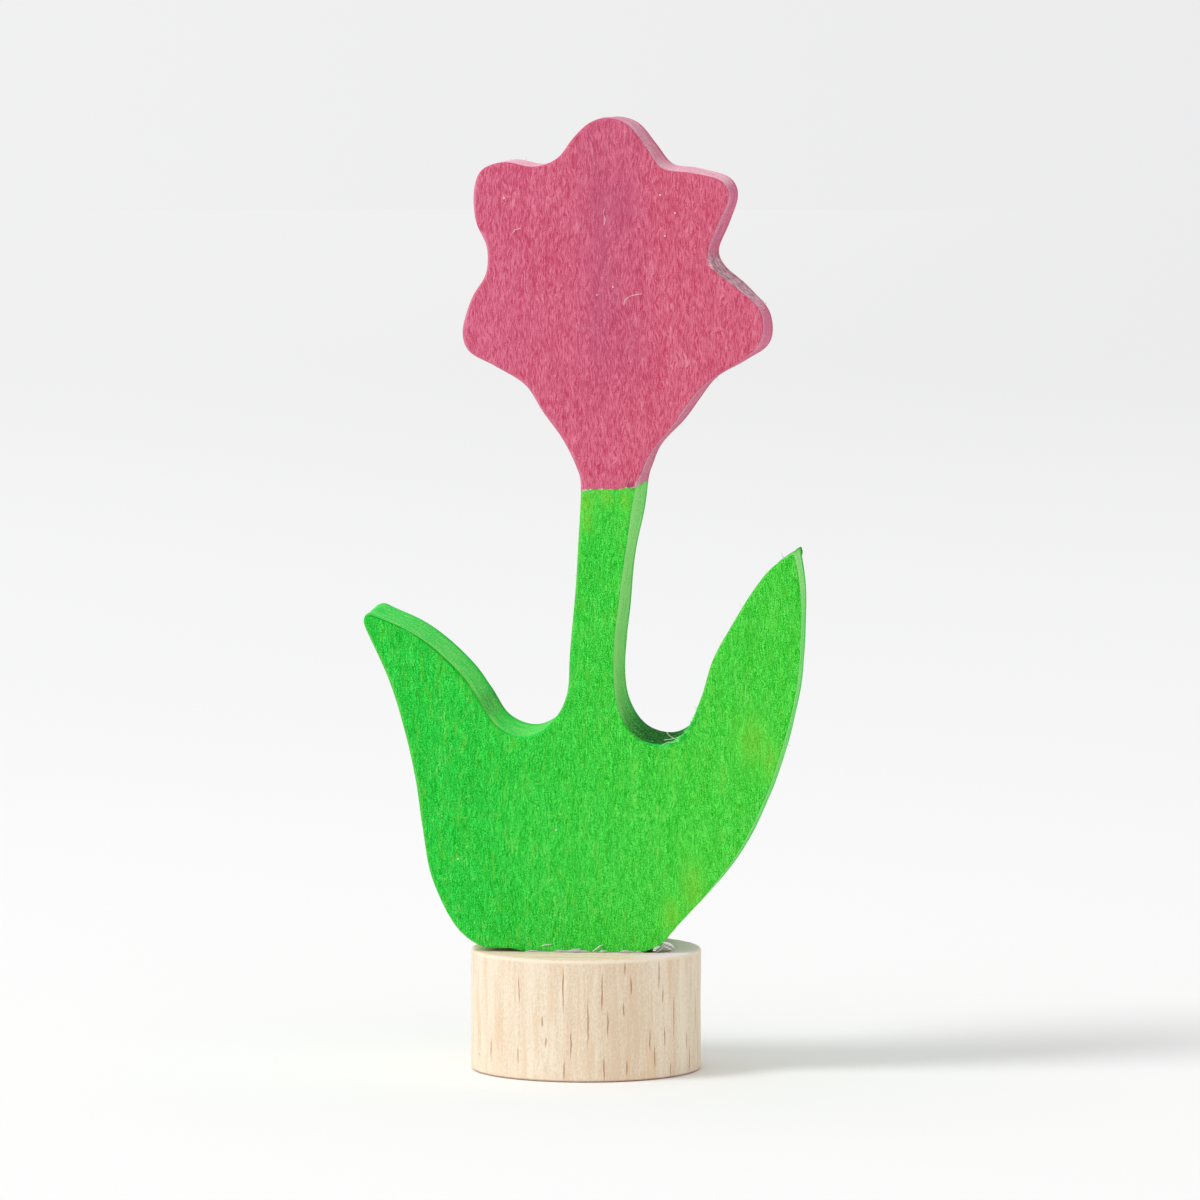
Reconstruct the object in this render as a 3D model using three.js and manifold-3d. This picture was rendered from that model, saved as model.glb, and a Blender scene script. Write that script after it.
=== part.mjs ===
// Flower figure on a round plug, in millimetres, +Z up.
// The origin is the centre of the plug's underside. X runs to the right and the
// board's front faces -Y.
import * as THREE from 'three';
import { mergeVertices } from 'three/addons/utils/BufferGeometryUtils.js';
import Module from 'manifold-3d';

const wasm = await Module();
wasm.setup();

// Round plug, turned from beech
const PLUG_DIAMETER = 20;
const PLUG_HEIGHT = 10.5;
const PLUG_RIM = 0.4;

// Flat board, sawn from lime wood
const BOARD_THICKNESS = 12;
const BOARD_SETBACK = 2;
const STEM_OFFSET = 0.85;

// Stem between the leaves and the blossom
const STEM_START = 26;
const STEM_LENGTH = 13.85;
const STEM_WIDTH = 3.8;
const STEM_FLARE = 0.85;
const STEM_LEAN = 1.4;

// Dowel pin hidden in the joint
const PIN_DIAMETER = 6;
const PIN_IN_PLUG = 6;
const PIN_IN_BOARD = 8;
const PIN_CHAMFER = 0.6;
const PIN_FLUTES = 12;
const FLUTE_DEPTH = 0.2;
const PIN_CLEARANCE = 0.3;

// Clear glue between the plug and the board's foot
const GLUE_FILM = 0.25;
const GLUE_START = -5;
const GLUE_MARGIN = 0.5;
const BEAD_OFFSET = 2;
const BEAD_WIDTH = 1.6;
const BEAD_HEIGHT = 0.8;
const BEAD_LENGTH = 9;
const BEAD_CLEARANCE = 0.3;

// The sawn outline as anchors of one smooth curve. Each is the distance out from
// the stem's flank and the height, above the foot for a leaf and above the stem's
// end for the petals.
const LEFT_LEAF = [
  [7.25, 0], [8.6, 0.65], [9.9, 1.9], [11.15, 4.05], [12.2, 6.8], [12.8, 10.45],
  [13.35, 14.45], [14.3, 18.85], [15.65, 23.1], [17.25, 26.65], [17.9, 28.25],
  [17.55, 28.9], [16.85, 28.7], [14, 27.5], [11.6, 25.8], [9.4, 23.65],
  [7.9, 21.55], [6.3, 19.25], [3.85, 18.4], [1.65, 19.6], [0.3, 22.05],
];
const LEFT_PETALS = [
  [0.35, 1.8], [1.7, 4.4], [3.35, 6.6], [4.85, 8.85], [7.5, 10.5], [9.65, 11.7],
  [10.25, 13.5], [9.45, 16.3], [8.25, 18.4], [8.15, 20.7], [9.1, 22.9],
  [9.25, 25.4], [8.6, 27.3], [6.6, 28], [4.1, 27.6], [2.1, 28.3], [0.65, 30.1],
  [-0.8, 31.4],
];
const RIGHT_PETALS = [
  [0.6, 1.6], [1.4, 3.25], [3.15, 5.35], [4.55, 7.4], [6.15, 9.15], [8.7, 10.8],
  [10.55, 12.3], [11, 14], [10.55, 15.6], [8.8, 17.2], [6.85, 18.85],
  [6.35, 20.5], [7.25, 22.8], [7.95, 24.8], [6.95, 26.35], [4.65, 27.1],
  [2.3, 27.45], [0.9, 29.3], [-0.6, 31.15], [-2.25, 31.75],
];
const RIGHT_LEAF_INSIDE = [
  [0.2, 21.35], [1.7, 18.6], [4.2, 17.75], [6.35, 18.85], [7.65, 21.85],
  [8.5, 25.15], [10.05, 27.95], [11.95, 31.05], [13.95, 33.35], [15.75, 34.65],
];
const RIGHT_LEAF_OUTSIDE = [
  [16, 32.25], [16.1, 28.45], [15.85, 23.25], [14.75, 18.35], [13.05, 13.25],
  [10.85, 8.7], [8.15, 5.05], [5.45, 2.05], [4.1, 0.6], [2.45, 0],
];

// How finely curves are divided
const CURVE_STEPS = 6;
const ROUND_STEPS = 72;
const PIN_STEPS = 48;
const RIM_STEPS = 3;
const BEAD_STEPS = 24;
const STEM_ANCHORS = 4;
const MERGE_DISTANCE = 1e-4;

const plugRadius = PLUG_DIAMETER / 2;
const footHeight = PLUG_HEIGHT + GLUE_FILM;
const boardFront = BOARD_SETBACK - BOARD_THICKNESS / 2;
const boreRadius = PIN_DIAMETER / 2 + PIN_CLEARANCE;
const footEnd = STEM_OFFSET + STEM_WIDTH / 2 + RIGHT_LEAF_OUTSIDE.at(-1)[0];

const limeWood = new THREE.MeshStandardMaterial({ color: 0x3ccb3e, roughness: 0.75, metalness: 0 });
const beech = new THREE.MeshStandardMaterial({ color: 0xeed8b8, roughness: 0.7, metalness: 0 });
const clearGlue = new THREE.MeshStandardMaterial({ color: 0xdfe2dc, roughness: 0.15, metalness: 0 });

// Solid of a closed geometry, for cutting and joining
function solidOf(geometry) {
  const bare = geometry.clone();
  bare.deleteAttribute('normal');
  bare.deleteAttribute('uv');
  const merged = mergeVertices(bare, MERGE_DISTANCE);
  return new wasm.Manifold(new wasm.Mesh({
    numProp: 3,
    vertProperties: new Float32Array(merged.attributes.position.array),
    triVerts: new Uint32Array(merged.index.array),
  }));
}

// Geometry of a solid
function geometryOf(solid) {
  const mesh = solid.getMesh();
  const geometry = new THREE.BufferGeometry();
  geometry.setAttribute('position', new THREE.BufferAttribute(mesh.vertProperties, 3));
  geometry.setIndex(new THREE.BufferAttribute(mesh.triVerts, 1));
  geometry.computeVertexNormals();
  return geometry;
}

// Named mesh of a geometry
function piece(name, geometry, material) {
  const mesh = new THREE.Mesh(geometry, material);
  mesh.name = name;
  return mesh;
}

// Upright cylinder between two heights
function uprightCylinder(radius, bottom, top, steps) {
  const geometry = new THREE.CylinderGeometry(radius, radius, top - bottom, steps);
  geometry.rotateX(Math.PI / 2);
  geometry.translate(0, 0, (bottom + top) / 2);
  return geometry;
}

// The pin's bore, through the plug's top, the glue and the board's foot
function pinBore() {
  const bottom = PLUG_HEIGHT - PIN_IN_PLUG - PIN_CLEARANCE;
  const top = footHeight + PIN_IN_BOARD + PIN_CLEARANCE;
  const bore = uprightCylinder(boreRadius, bottom, top, PIN_STEPS);
  bore.translate(0, BOARD_SETBACK, 0);
  return solidOf(bore);
}

// Outline of the board: x from the stem's middle at its start, y above the foot
function boardOutline() {
  const stemEnd = STEM_START + STEM_LENGTH;
  const headWidth = STEM_WIDTH + STEM_FLARE;
  const leafSide = (side) => ([out, up]) => new THREE.Vector2(side * (STEM_WIDTH / 2 + out), up);
  const petalSide = (side) => ([out, up]) =>
    new THREE.Vector2(STEM_LEAN + side * (headWidth / 2 + out), stemEnd + up);
  const stemFlank = (side) => Array.from({ length: STEM_ANCHORS }, (_, index) => {
    const share = index / (STEM_ANCHORS - 1);
    const halfWidth = (STEM_WIDTH + STEM_FLARE * share ** 2) / 2;
    return new THREE.Vector2(STEM_LEAN * share + side * halfWidth, STEM_START + STEM_LENGTH * share);
  });
  const upTheLeft = [
    ...LEFT_LEAF.map(leafSide(-1)), ...stemFlank(-1), ...LEFT_PETALS.map(petalSide(-1)),
  ];
  const downTheRight = [
    ...RIGHT_PETALS.map(petalSide(1)).reverse(), ...stemFlank(1).reverse(),
    ...RIGHT_LEAF_INSIDE.map(leafSide(1)),
  ];
  const outline = new THREE.Shape();
  outline.moveTo(upTheLeft[0].x, upTheLeft[0].y);
  outline.splineThru([...upTheLeft.slice(1), ...downTheRight]);
  outline.splineThru(RIGHT_LEAF_OUTSIDE.map(leafSide(1)));
  outline.closePath();
  return outline;
}

// Board sawn square through its thickness, before it is bored
function sawnBoard() {
  const board = new THREE.ExtrudeGeometry(boardOutline(), {
    depth: BOARD_THICKNESS,
    curveSegments: CURVE_STEPS,
    bevelEnabled: false,
  });
  board.rotateX(Math.PI / 2);
  board.translate(STEM_OFFSET, BOARD_SETBACK + BOARD_THICKNESS / 2, footHeight);
  return board;
}

// Board with the pin's blind bore in its foot
function flowerBoard() {
  const bored = solidOf(sawnBoard()).subtract(pinBore());
  return piece('flower_board', geometryOf(bored), limeWood);
}

// Plug with rounded rims and the pin's blind bore in its top
function basePlug() {
  const profile = new THREE.Path();
  profile.moveTo(0, 0);
  profile.lineTo(plugRadius - PLUG_RIM, 0);
  profile.absarc(plugRadius - PLUG_RIM, PLUG_RIM, PLUG_RIM, -Math.PI / 2, 0);
  profile.absarc(plugRadius - PLUG_RIM, PLUG_HEIGHT - PLUG_RIM, PLUG_RIM, 0, Math.PI / 2);
  profile.lineTo(0, PLUG_HEIGHT);
  const plug = new THREE.LatheGeometry(profile.getPoints(RIM_STEPS), ROUND_STEPS);
  plug.rotateX(Math.PI / 2);
  const bored = solidOf(plug).subtract(pinBore());
  return piece('base_plug', geometryOf(bored), beech);
}

// Fluted dowel with chamfered ends
function dowelPin() {
  const outline = new THREE.Shape();
  const radius = PIN_DIAMETER / 2;
  for (let step = 0; step < PIN_STEPS; step += 1) {
    const angle = (2 * Math.PI * step) / PIN_STEPS;
    const depth = FLUTE_DEPTH * (1 + Math.cos(angle * PIN_FLUTES)) / 2;
    const x = (radius - depth) * Math.cos(angle);
    const y = (radius - depth) * Math.sin(angle);
    if (step === 0) outline.moveTo(x, y);
    else outline.lineTo(x, y);
  }
  outline.closePath();
  const pin = new THREE.ExtrudeGeometry(outline, {
    depth: PIN_IN_PLUG + GLUE_FILM + PIN_IN_BOARD - 2 * PIN_CHAMFER,
    bevelThickness: PIN_CHAMFER,
    bevelSize: PIN_CHAMFER,
    bevelOffset: -PIN_CHAMFER,
    bevelSegments: 1,
  });
  pin.translate(0, BOARD_SETBACK, PLUG_HEIGHT - PIN_IN_PLUG + PIN_CHAMFER);
  return piece('dowel_pin', pin, beech);
}

// Bead of glue squeezed out under the board where its outline rises from the foot
function glueBead(beadMiddle) {
  const bead = new THREE.SphereGeometry(1, BEAD_STEPS, BEAD_STEPS / 2);
  bead.scale(BEAD_WIDTH / 2, BEAD_LENGTH / 2, BEAD_HEIGHT);
  bead.translate(beadMiddle, boardFront + GLUE_MARGIN + BEAD_LENGTH / 2, PLUG_HEIGHT);
  const boardAbove = sawnBoard();
  boardAbove.translate(0, 0, -BEAD_CLEARANCE);
  return solidOf(bead).subtract(solidOf(boardAbove));
}

// Film of glue under the foot, one body with the bead at its right end, on the plug's flat top
function glueSeam() {
  const beadMiddle = footEnd + BEAD_OFFSET;
  const filmLength = beadMiddle - GLUE_START;
  const filmWidth = BOARD_THICKNESS - 2 * GLUE_MARGIN;
  const film = new THREE.BoxGeometry(filmLength, filmWidth, GLUE_FILM);
  film.translate(GLUE_START + filmLength / 2, BOARD_SETBACK, PLUG_HEIGHT + GLUE_FILM / 2);
  const plugTop = uprightCylinder(plugRadius - PLUG_RIM, PLUG_HEIGHT, 2 * PLUG_HEIGHT, ROUND_STEPS);
  const glue = solidOf(film).add(glueBead(beadMiddle)).intersect(solidOf(plugTop));
  return piece('glue_seam', geometryOf(glue.subtract(pinBore())), clearGlue);
}

const flowerFigure = new THREE.Group();
flowerFigure.add(basePlug(), dowelPin(), glueSeam(), flowerBoard());

export default flowerFigure;
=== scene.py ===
"""A flat wooden flower on a short round plug, dressed for its picture.

Shapes are worked out in millimetres and written to the meshes in metres. X runs
to the right, the board's front faces -Y and Z is up. The origin is the centre
of the plug's underside.
"""

import logging
import math
from dataclasses import dataclass, field
from enum import Enum

import bpy
import numpy as np
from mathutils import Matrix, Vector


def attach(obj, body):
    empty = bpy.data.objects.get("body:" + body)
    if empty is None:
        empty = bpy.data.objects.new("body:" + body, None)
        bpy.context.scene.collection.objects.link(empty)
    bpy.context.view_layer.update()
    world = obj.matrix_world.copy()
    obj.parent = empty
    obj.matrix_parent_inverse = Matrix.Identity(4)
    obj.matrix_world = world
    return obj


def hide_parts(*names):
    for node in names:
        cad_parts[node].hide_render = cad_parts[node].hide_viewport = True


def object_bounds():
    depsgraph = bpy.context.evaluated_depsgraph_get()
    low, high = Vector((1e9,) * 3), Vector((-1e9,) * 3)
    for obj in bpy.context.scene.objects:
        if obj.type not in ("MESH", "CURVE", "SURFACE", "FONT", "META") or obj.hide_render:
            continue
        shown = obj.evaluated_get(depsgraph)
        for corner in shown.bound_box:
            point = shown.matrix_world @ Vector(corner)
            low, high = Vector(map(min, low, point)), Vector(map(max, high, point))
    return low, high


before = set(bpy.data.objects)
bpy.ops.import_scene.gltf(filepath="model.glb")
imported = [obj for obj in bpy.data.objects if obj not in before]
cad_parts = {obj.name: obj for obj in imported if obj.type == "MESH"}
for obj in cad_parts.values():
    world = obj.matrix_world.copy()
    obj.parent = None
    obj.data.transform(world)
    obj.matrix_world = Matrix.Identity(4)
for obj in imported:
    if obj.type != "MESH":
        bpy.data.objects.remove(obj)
CAD_BOX = [[float(value) for value in corner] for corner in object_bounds()]

MM = 0.001
LOG = logging.getLogger("flower_figure")

Triple = tuple[float, float, float]
Spots = tuple[tuple[float, float, float, float], ...]
Tuft = tuple[float, float, float, int]
Socket = bpy.types.NodeSocket
Value = float | int | tuple | Socket


class Slot(Enum):
    """The finishes that the record names."""

    LIME = "stained_lime"
    BEECH = "beech"
    GLUE = "dried_glue"


@dataclass(frozen=True)
class Tone:
    """A colour as it looks, each part from 0 to 255."""

    red: float
    green: float
    blue: float

    @property
    def linear(self) -> tuple[float, float, float, float]:
        """The colour as a shader takes it, by the screen's own curve."""
        parts = np.array([self.red, self.green, self.blue]) / 255.0
        light = np.where(parts <= 0.04045, parts / 12.92, ((parts + 0.055) / 1.055) ** 2.4)
        return (*(float(part) for part in light), 1.0)


Paint = Value | Tone


# Shapes worked out as whole arrays


def eased(value: np.ndarray, start: float, end: float) -> np.ndarray:
    """Share from 0 at start to 1 at end, level at both: t squared times (3 - 2t).

    Args:
        value: Any array of numbers.
        start: Where the share is 0.
        end: Where the share is 1.

    Returns:
        The share for each number.
    """
    share = np.clip((value - start) / (end - start), 0.0, 1.0)
    return share * share * (3.0 - 2.0 * share)


def even_noise(seed: int, shape: tuple[int, ...], blur: tuple[float, ...]) -> np.ndarray:
    """Seeded noise that joins up with itself at its ends.

    Random numbers are blurred by a bell curve along each axis, by way of their
    Fourier transform, then brought to mean 0 and spread 1.

    Args:
        seed: Start of the random numbers.
        shape: Cells along each axis.
        blur: Width of the bell curve along each axis, in cells.

    Returns:
        The noise, in the given shape.
    """
    spectrum = np.fft.fftn(np.random.default_rng(seed).standard_normal(shape))
    for axis, (count, width) in enumerate(zip(shape, blur)):
        bell = np.exp(-2.0 * (math.pi * np.fft.fftfreq(count) * width) ** 2)
        spectrum = spectrum * bell.reshape([-1 if k == axis else 1 for k in range(len(shape))])
    noise = np.fft.ifftn(spectrum).real
    return (noise - noise.mean()) / noise.std()


def loop_blur(values: np.ndarray, width: float) -> np.ndarray:
    """Values along a closed loop, blurred by a bell curve of that width in cells.

    Args:
        values: One row per point of the loop.
        width: Width of the bell curve, in points.

    Returns:
        The blurred values.
    """
    bell = np.exp(-2.0 * (math.pi * np.fft.fftfreq(len(values)) * width) ** 2)
    bell = bell.reshape([-1] + [1] * (values.ndim - 1))
    return np.fft.ifft(np.fft.fft(values, axis=0) * bell, axis=0).real


def curve_through(anchors: np.ndarray, steps: int) -> np.ndarray:
    """Points of a smooth curve through anchors, with steps points to each span.

    Each span is a cubic through its two anchors, whose slope at an anchor is half
    the way between that anchor's neighbours. The end anchors are doubled.

    Args:
        anchors: One row per anchor.
        steps: Points to a span.

    Returns:
        The curve's points, one row each.
    """
    padded = np.vstack([anchors[:1], anchors, anchors[-1:]])
    before, first, second, after = (padded[k : len(padded) - 3 + k, None] for k in range(4))
    t = (np.arange(steps) / steps)[None, :, None]
    spans = 0.5 * (
        2 * first
        + (second - before) * t
        + (2 * before - 5 * first + 4 * second - after) * t**2
        + (3 * first - before - 3 * second + after) * t**3
    )
    return np.vstack([spans.reshape(-1, anchors.shape[1]), anchors[-1:]])


def evenly_spaced(loop: np.ndarray, count: int) -> np.ndarray:
    """Points at equal distances along a closed loop.

    Args:
        loop: The loop's points, the first not repeated.
        count: How many points to place.

    Returns:
        The new points, one row each.
    """
    closed = np.vstack([loop, loop[:1]])
    gone = np.concatenate([[0.0], np.cumsum(np.linalg.norm(np.diff(closed, axis=0), axis=1))])
    wanted = np.linspace(0.0, gone[-1], count, endpoint=False)
    return np.column_stack([np.interp(wanted, gone, closed[:, k]) for k in range(loop.shape[1])])


def room_inside(points: np.ndarray, normals: np.ndarray) -> np.ndarray:
    """Radius of the largest disc that touches a closed outline at each point from inside.

    For points p and q and the normal n that looks inwards at p, the disc through
    both has the radius (q - p) squared over 2 (q - p) . n, and the least counts.

    Args:
        points: The outline's points.
        normals: Unit normals that look outwards.

    Returns:
        One radius per point.
    """
    apart = points[None] - points[:, None]
    facing = -2.0 * np.einsum("ijk,ik->ij", apart, normals)
    reach = (apart**2).sum(-1)
    radius = np.where(facing > 1e-9, reach / np.maximum(facing, 1e-9), np.inf)
    return radius.min(axis=1)


@dataclass
class Shell:
    """Points and faces of one mesh, faces as runs of corners."""

    points: np.ndarray
    corners: np.ndarray
    sizes: np.ndarray

    def joined(self, other: "Shell") -> "Shell":
        """Both shells as one."""
        return Shell(
            np.vstack([self.points, other.points]),
            np.concatenate([self.corners, other.corners + len(self.points)]),
            np.concatenate([self.sizes, other.sizes]),
        )

    def volume(self) -> float:
        """Volume within the faces, above zero when they look outwards."""
        starts = np.cumsum(self.sizes) - self.sizes
        owner = np.repeat(np.arange(len(self.sizes)), self.sizes)
        first = self.points[self.corners[starts]][owner]
        here = self.points[self.corners]
        following = np.arange(len(self.corners)) + 1
        ends = starts + self.sizes
        following[ends - 1] = starts
        there = self.points[self.corners[following]]
        return float(np.einsum("ij,ij->i", first, np.cross(here, there)).sum() / 6.0)

    def piece(self, name: str) -> bpy.types.Object:
        """The shell as a smooth object in metres, linked to the scene."""
        mesh = bpy.data.meshes.new(name)
        mesh.vertices.add(len(self.points))
        mesh.vertices.foreach_set("co", (self.points * MM).astype(np.float32).ravel())
        mesh.loops.add(len(self.corners))
        mesh.loops.foreach_set("vertex_index", self.corners.astype(np.int32))
        mesh.polygons.add(len(self.sizes))
        starts = np.cumsum(self.sizes) - self.sizes
        mesh.polygons.foreach_set("loop_start", starts.astype(np.int32))
        mesh.polygons.foreach_set("use_smooth", np.ones(len(self.sizes), dtype=bool))
        mesh.update(calc_edges=True)
        mesh.validate()
        made = bpy.data.objects.new(name, mesh)
        bpy.context.scene.collection.objects.link(made)
        return made


def closed_rings(rings: np.ndarray) -> Shell:
    """Shell of rings laid one after another, with a flat face over each end.

    The faces look outwards where, seen along the way from the first ring to the
    last, the points of a ring run clockwise.

    Args:
        rings: Points in the shape rings, points of a ring, 3.

    Returns:
        The closed shell.
    """
    rows, columns = rings.shape[:2]
    index = np.arange(rows * columns).reshape(rows, columns)
    beside = np.roll(index, -1, axis=1)
    quads = np.stack([index[:-1], beside[:-1], beside[1:], index[1:]], axis=-1).reshape(-1, 4)
    corners = np.concatenate([quads.ravel(), index[0, ::-1], index[-1]])
    sizes = np.concatenate([np.full(len(quads), 4), [columns, columns]])
    return Shell(rings.reshape(-1, 3), corners, sizes)


def strands(path: np.ndarray, thickness: np.ndarray, sides: int = 4) -> Shell:
    """Thin tapered strands as one shell.

    Around each path runs a ring with that many sides, in the plane square to the
    strand's whole direction.

    Args:
        path: Points in the shape strands, points of a strand, 3.
        thickness: Radius in the shape strands, points of a strand.
        sides: Sides of a ring.

    Returns:
        The shell of all strands.
    """
    count, stations = path.shape[:2]
    along = path[:, -1] - path[:, 0]
    along = along / np.linalg.norm(along, axis=1, keepdims=True)
    helper = np.where(np.abs(along[:, 1:2]) > 0.8, [[1.0, 0.0, 0.0]], [[0.0, 1.0, 0.0]])
    first = np.cross(along, helper)
    first = first / np.linalg.norm(first, axis=1, keepdims=True)
    second = np.cross(along, first)
    angle = -2 * math.pi * np.arange(sides) / sides
    spoke = np.cos(angle)[:, None] * first[:, None] + np.sin(angle)[:, None] * second[:, None]
    points = path[:, :, None] + thickness[:, :, None, None] * spoke[:, None]
    one = closed_rings(np.zeros((stations, sides, 3)))
    shift = (np.arange(count) * stations * sides)[:, None]
    return Shell(
        points.reshape(-1, 3),
        (one.corners[None] + shift).ravel(),
        np.tile(one.sizes, count),
    )


def set_values(piece: bpy.types.Object, name: str, values: np.ndarray) -> None:
    """Keeps a number or a vector at each of the piece's points.

    Args:
        piece: The piece.
        name: What the shader calls the values.
        values: One row per point.
    """
    kind, key = ("FLOAT", "value") if values.ndim == 1 else ("FLOAT_VECTOR", "vector")
    layer = piece.data.attributes.new(name, kind, "POINT")
    layer.data.foreach_set(key, values.astype(np.float32).ravel())


# Shader trees


class Sheet:
    """One shader tree, which its methods fill with joined nodes."""

    def __init__(self, tree: bpy.types.NodeTree) -> None:
        """Starts on an empty tree."""
        self.tree = tree

    @classmethod
    def of_material(cls, name: str) -> tuple["Sheet", bpy.types.Material]:
        """A new material and the sheet that fills it.

        Args:
            name: The material's name.

        Returns:
            The sheet and the material.
        """
        material = bpy.data.materials.new(name)
        material.use_nodes = True
        material.node_tree.nodes.clear()
        return cls(material.node_tree), material

    def add(self, kind: str, **settings: object) -> bpy.types.Node:
        """A new node of that kind with these settings."""
        node = self.tree.nodes.new(kind)
        for name, value in settings.items():
            setattr(node, name, value)
        return node

    def feed(self, socket: Socket, value: Paint) -> None:
        """Joins a socket to another one, or sets it to a plain value."""
        if isinstance(value, Socket):
            self.tree.links.new(value, socket)
        else:
            socket.default_value = value.linear if isinstance(value, Tone) else value

    def fed(self, node: bpy.types.Node, *values: Paint) -> bpy.types.Node:
        """The node, with these values in its first inputs."""
        for socket, value in zip(node.inputs, values):
            self.feed(socket, value)
        return node

    def named(self, node: bpy.types.Node, **values: Paint) -> bpy.types.Node:
        """The node, with these values in its inputs; a low line stands for a space."""
        for name, value in values.items():
            self.feed(node.inputs[name.replace("_", " ")], value)
        return node

    def math(self, operation: str, *values: Value, clamp: bool = False) -> Socket:
        """Result of one sum on numbers."""
        return self.fed(self.add("ShaderNodeMath", operation=operation, use_clamp=clamp), *values).outputs[0]

    def times(self, first: Value, second: Value) -> Socket:
        """Product of two numbers."""
        return self.math("MULTIPLY", first, second)

    def plus(self, first: Value, second: Value) -> Socket:
        """Sum of two numbers."""
        return self.math("ADD", first, second)

    def apart(self, value: Value, middle: float) -> Socket:
        """How far a number is from a middle."""
        return self.math("ABSOLUTE", self.math("SUBTRACT", value, middle))

    def swing(self, value: Value, gain: Value, base: Value = 0.0, clamp: bool = False) -> Socket:
        """A base, and on it gain times what the value has over one half."""
        return self.math("MULTIPLY_ADD", self.math("SUBTRACT", value, 0.5), gain, base, clamp=clamp)

    def vector(self, operation: str, *values: Value) -> Socket:
        """Result of one sum on vectors; a length is a number."""
        node = self.fed(self.add("ShaderNodeVectorMath", operation=operation), *values)
        return node.outputs["Value" if operation == "LENGTH" else "Vector"]

    def ramp(self, value: Value, start: Value, end: Value, low: Value = 0.0, high: Value = 1.0) -> Socket:
        """Smooth step from low at start to high at end."""
        node = self.add("ShaderNodeMapRange", interpolation_type="SMOOTHSTEP")
        return self.fed(node, value, start, end, low, high).outputs[0]

    def span(self, value: Value, start: float, end: float, low: Value = 0.0, high: Value = 1.0) -> Socket:
        """Smooth step of a length, between a start and an end in millimetres."""
        return self.ramp(value, start * MM, end * MM, low, high)

    def mix(self, share: Value, first: Paint, second: Paint) -> Socket:
        """First colour, with that share of the second one."""
        node = self.add("ShaderNodeMix", data_type="RGBA")
        for number, value in ((0, share), (6, first), (7, second)):
            self.feed(node.inputs[number], value)
        return node.outputs[2]

    def mix_shader(self, share: Value, first: Socket, second: Socket) -> Socket:
        """First shader, with that share of the second one."""
        return self.fed(self.add("ShaderNodeMixShader"), share, first, second).outputs[0]

    def noise(
        self,
        vector: Socket,
        cells: Triple = (1.0, 1.0, 1.0),
        turn: float = 0.0,
        shift: Triple = (0.0, 0.0, 0.0),
        detail: float = 2.0,
        roughness: float = 0.5,
    ) -> Socket:
        """Cloudy noise from 0 to 1.

        Args:
            vector: Where the noise is read.
            cells: Cells to a unit of the vector, along each axis.
            turn: Turn of the cells about Z, in degrees.
            shift: Shift of the cells.
            detail: Finer layers.
            roughness: Strength of the finer layers.

        Returns:
            The noise.
        """
        rotation = (0.0, 0.0, math.radians(turn))
        mapping = self.named(
            self.add("ShaderNodeMapping"), Vector=vector, Scale=cells, Rotation=rotation, Location=shift
        )
        node = self.add("ShaderNodeTexNoise")
        self.named(node, Vector=mapping.outputs[0], Scale=1.0, Detail=detail, Roughness=roughness)
        return node.outputs["Fac"]

    def place(self) -> Socket:
        """The place on the object, in metres."""
        return self.add("ShaderNodeTexCoord").outputs["Object"]

    def split(self, vector: Socket) -> tuple[Socket, ...]:
        """X, Y and Z of a vector."""
        return tuple(self.fed(self.add("ShaderNodeSeparateXYZ"), vector).outputs)

    def gathered(self, *parts: Value) -> Socket:
        """A vector of X, Y and Z."""
        return self.fed(self.add("ShaderNodeCombineXYZ"), *parts).outputs[0]

    def stored(self, name: str, vector: bool = False) -> Socket:
        """A value kept at the piece's points."""
        node = self.add("ShaderNodeAttribute", attribute_type="GEOMETRY", attribute_name=name)
        return node.outputs["Vector" if vector else "Fac"]

    def effect(self, group: bpy.types.NodeTree, **values: Value) -> Socket:
        """Output of a shared effect, with these values for its inputs."""
        return self.named(self.add("ShaderNodeGroup", node_tree=group), **values).outputs[0]

    def bump(self, height: Value, distance: float) -> Socket:
        """Normal of a surface raised by height times a distance in millimetres."""
        node = self.add("ShaderNodeBump")
        return self.named(node, Strength=1.0, Distance=distance * MM, Height=height).outputs[0]

    def surface(self, **values: Paint) -> None:
        """Ends the tree in a Principled shader with these values."""
        self.finish(self.named(self.add("ShaderNodeBsdfPrincipled"), **values).outputs[0])

    def finish(self, shader: Socket, kind: str = "ShaderNodeOutputMaterial") -> None:
        """Ends the tree in this shader."""
        self.named(self.add(kind), Surface=shader)


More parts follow.
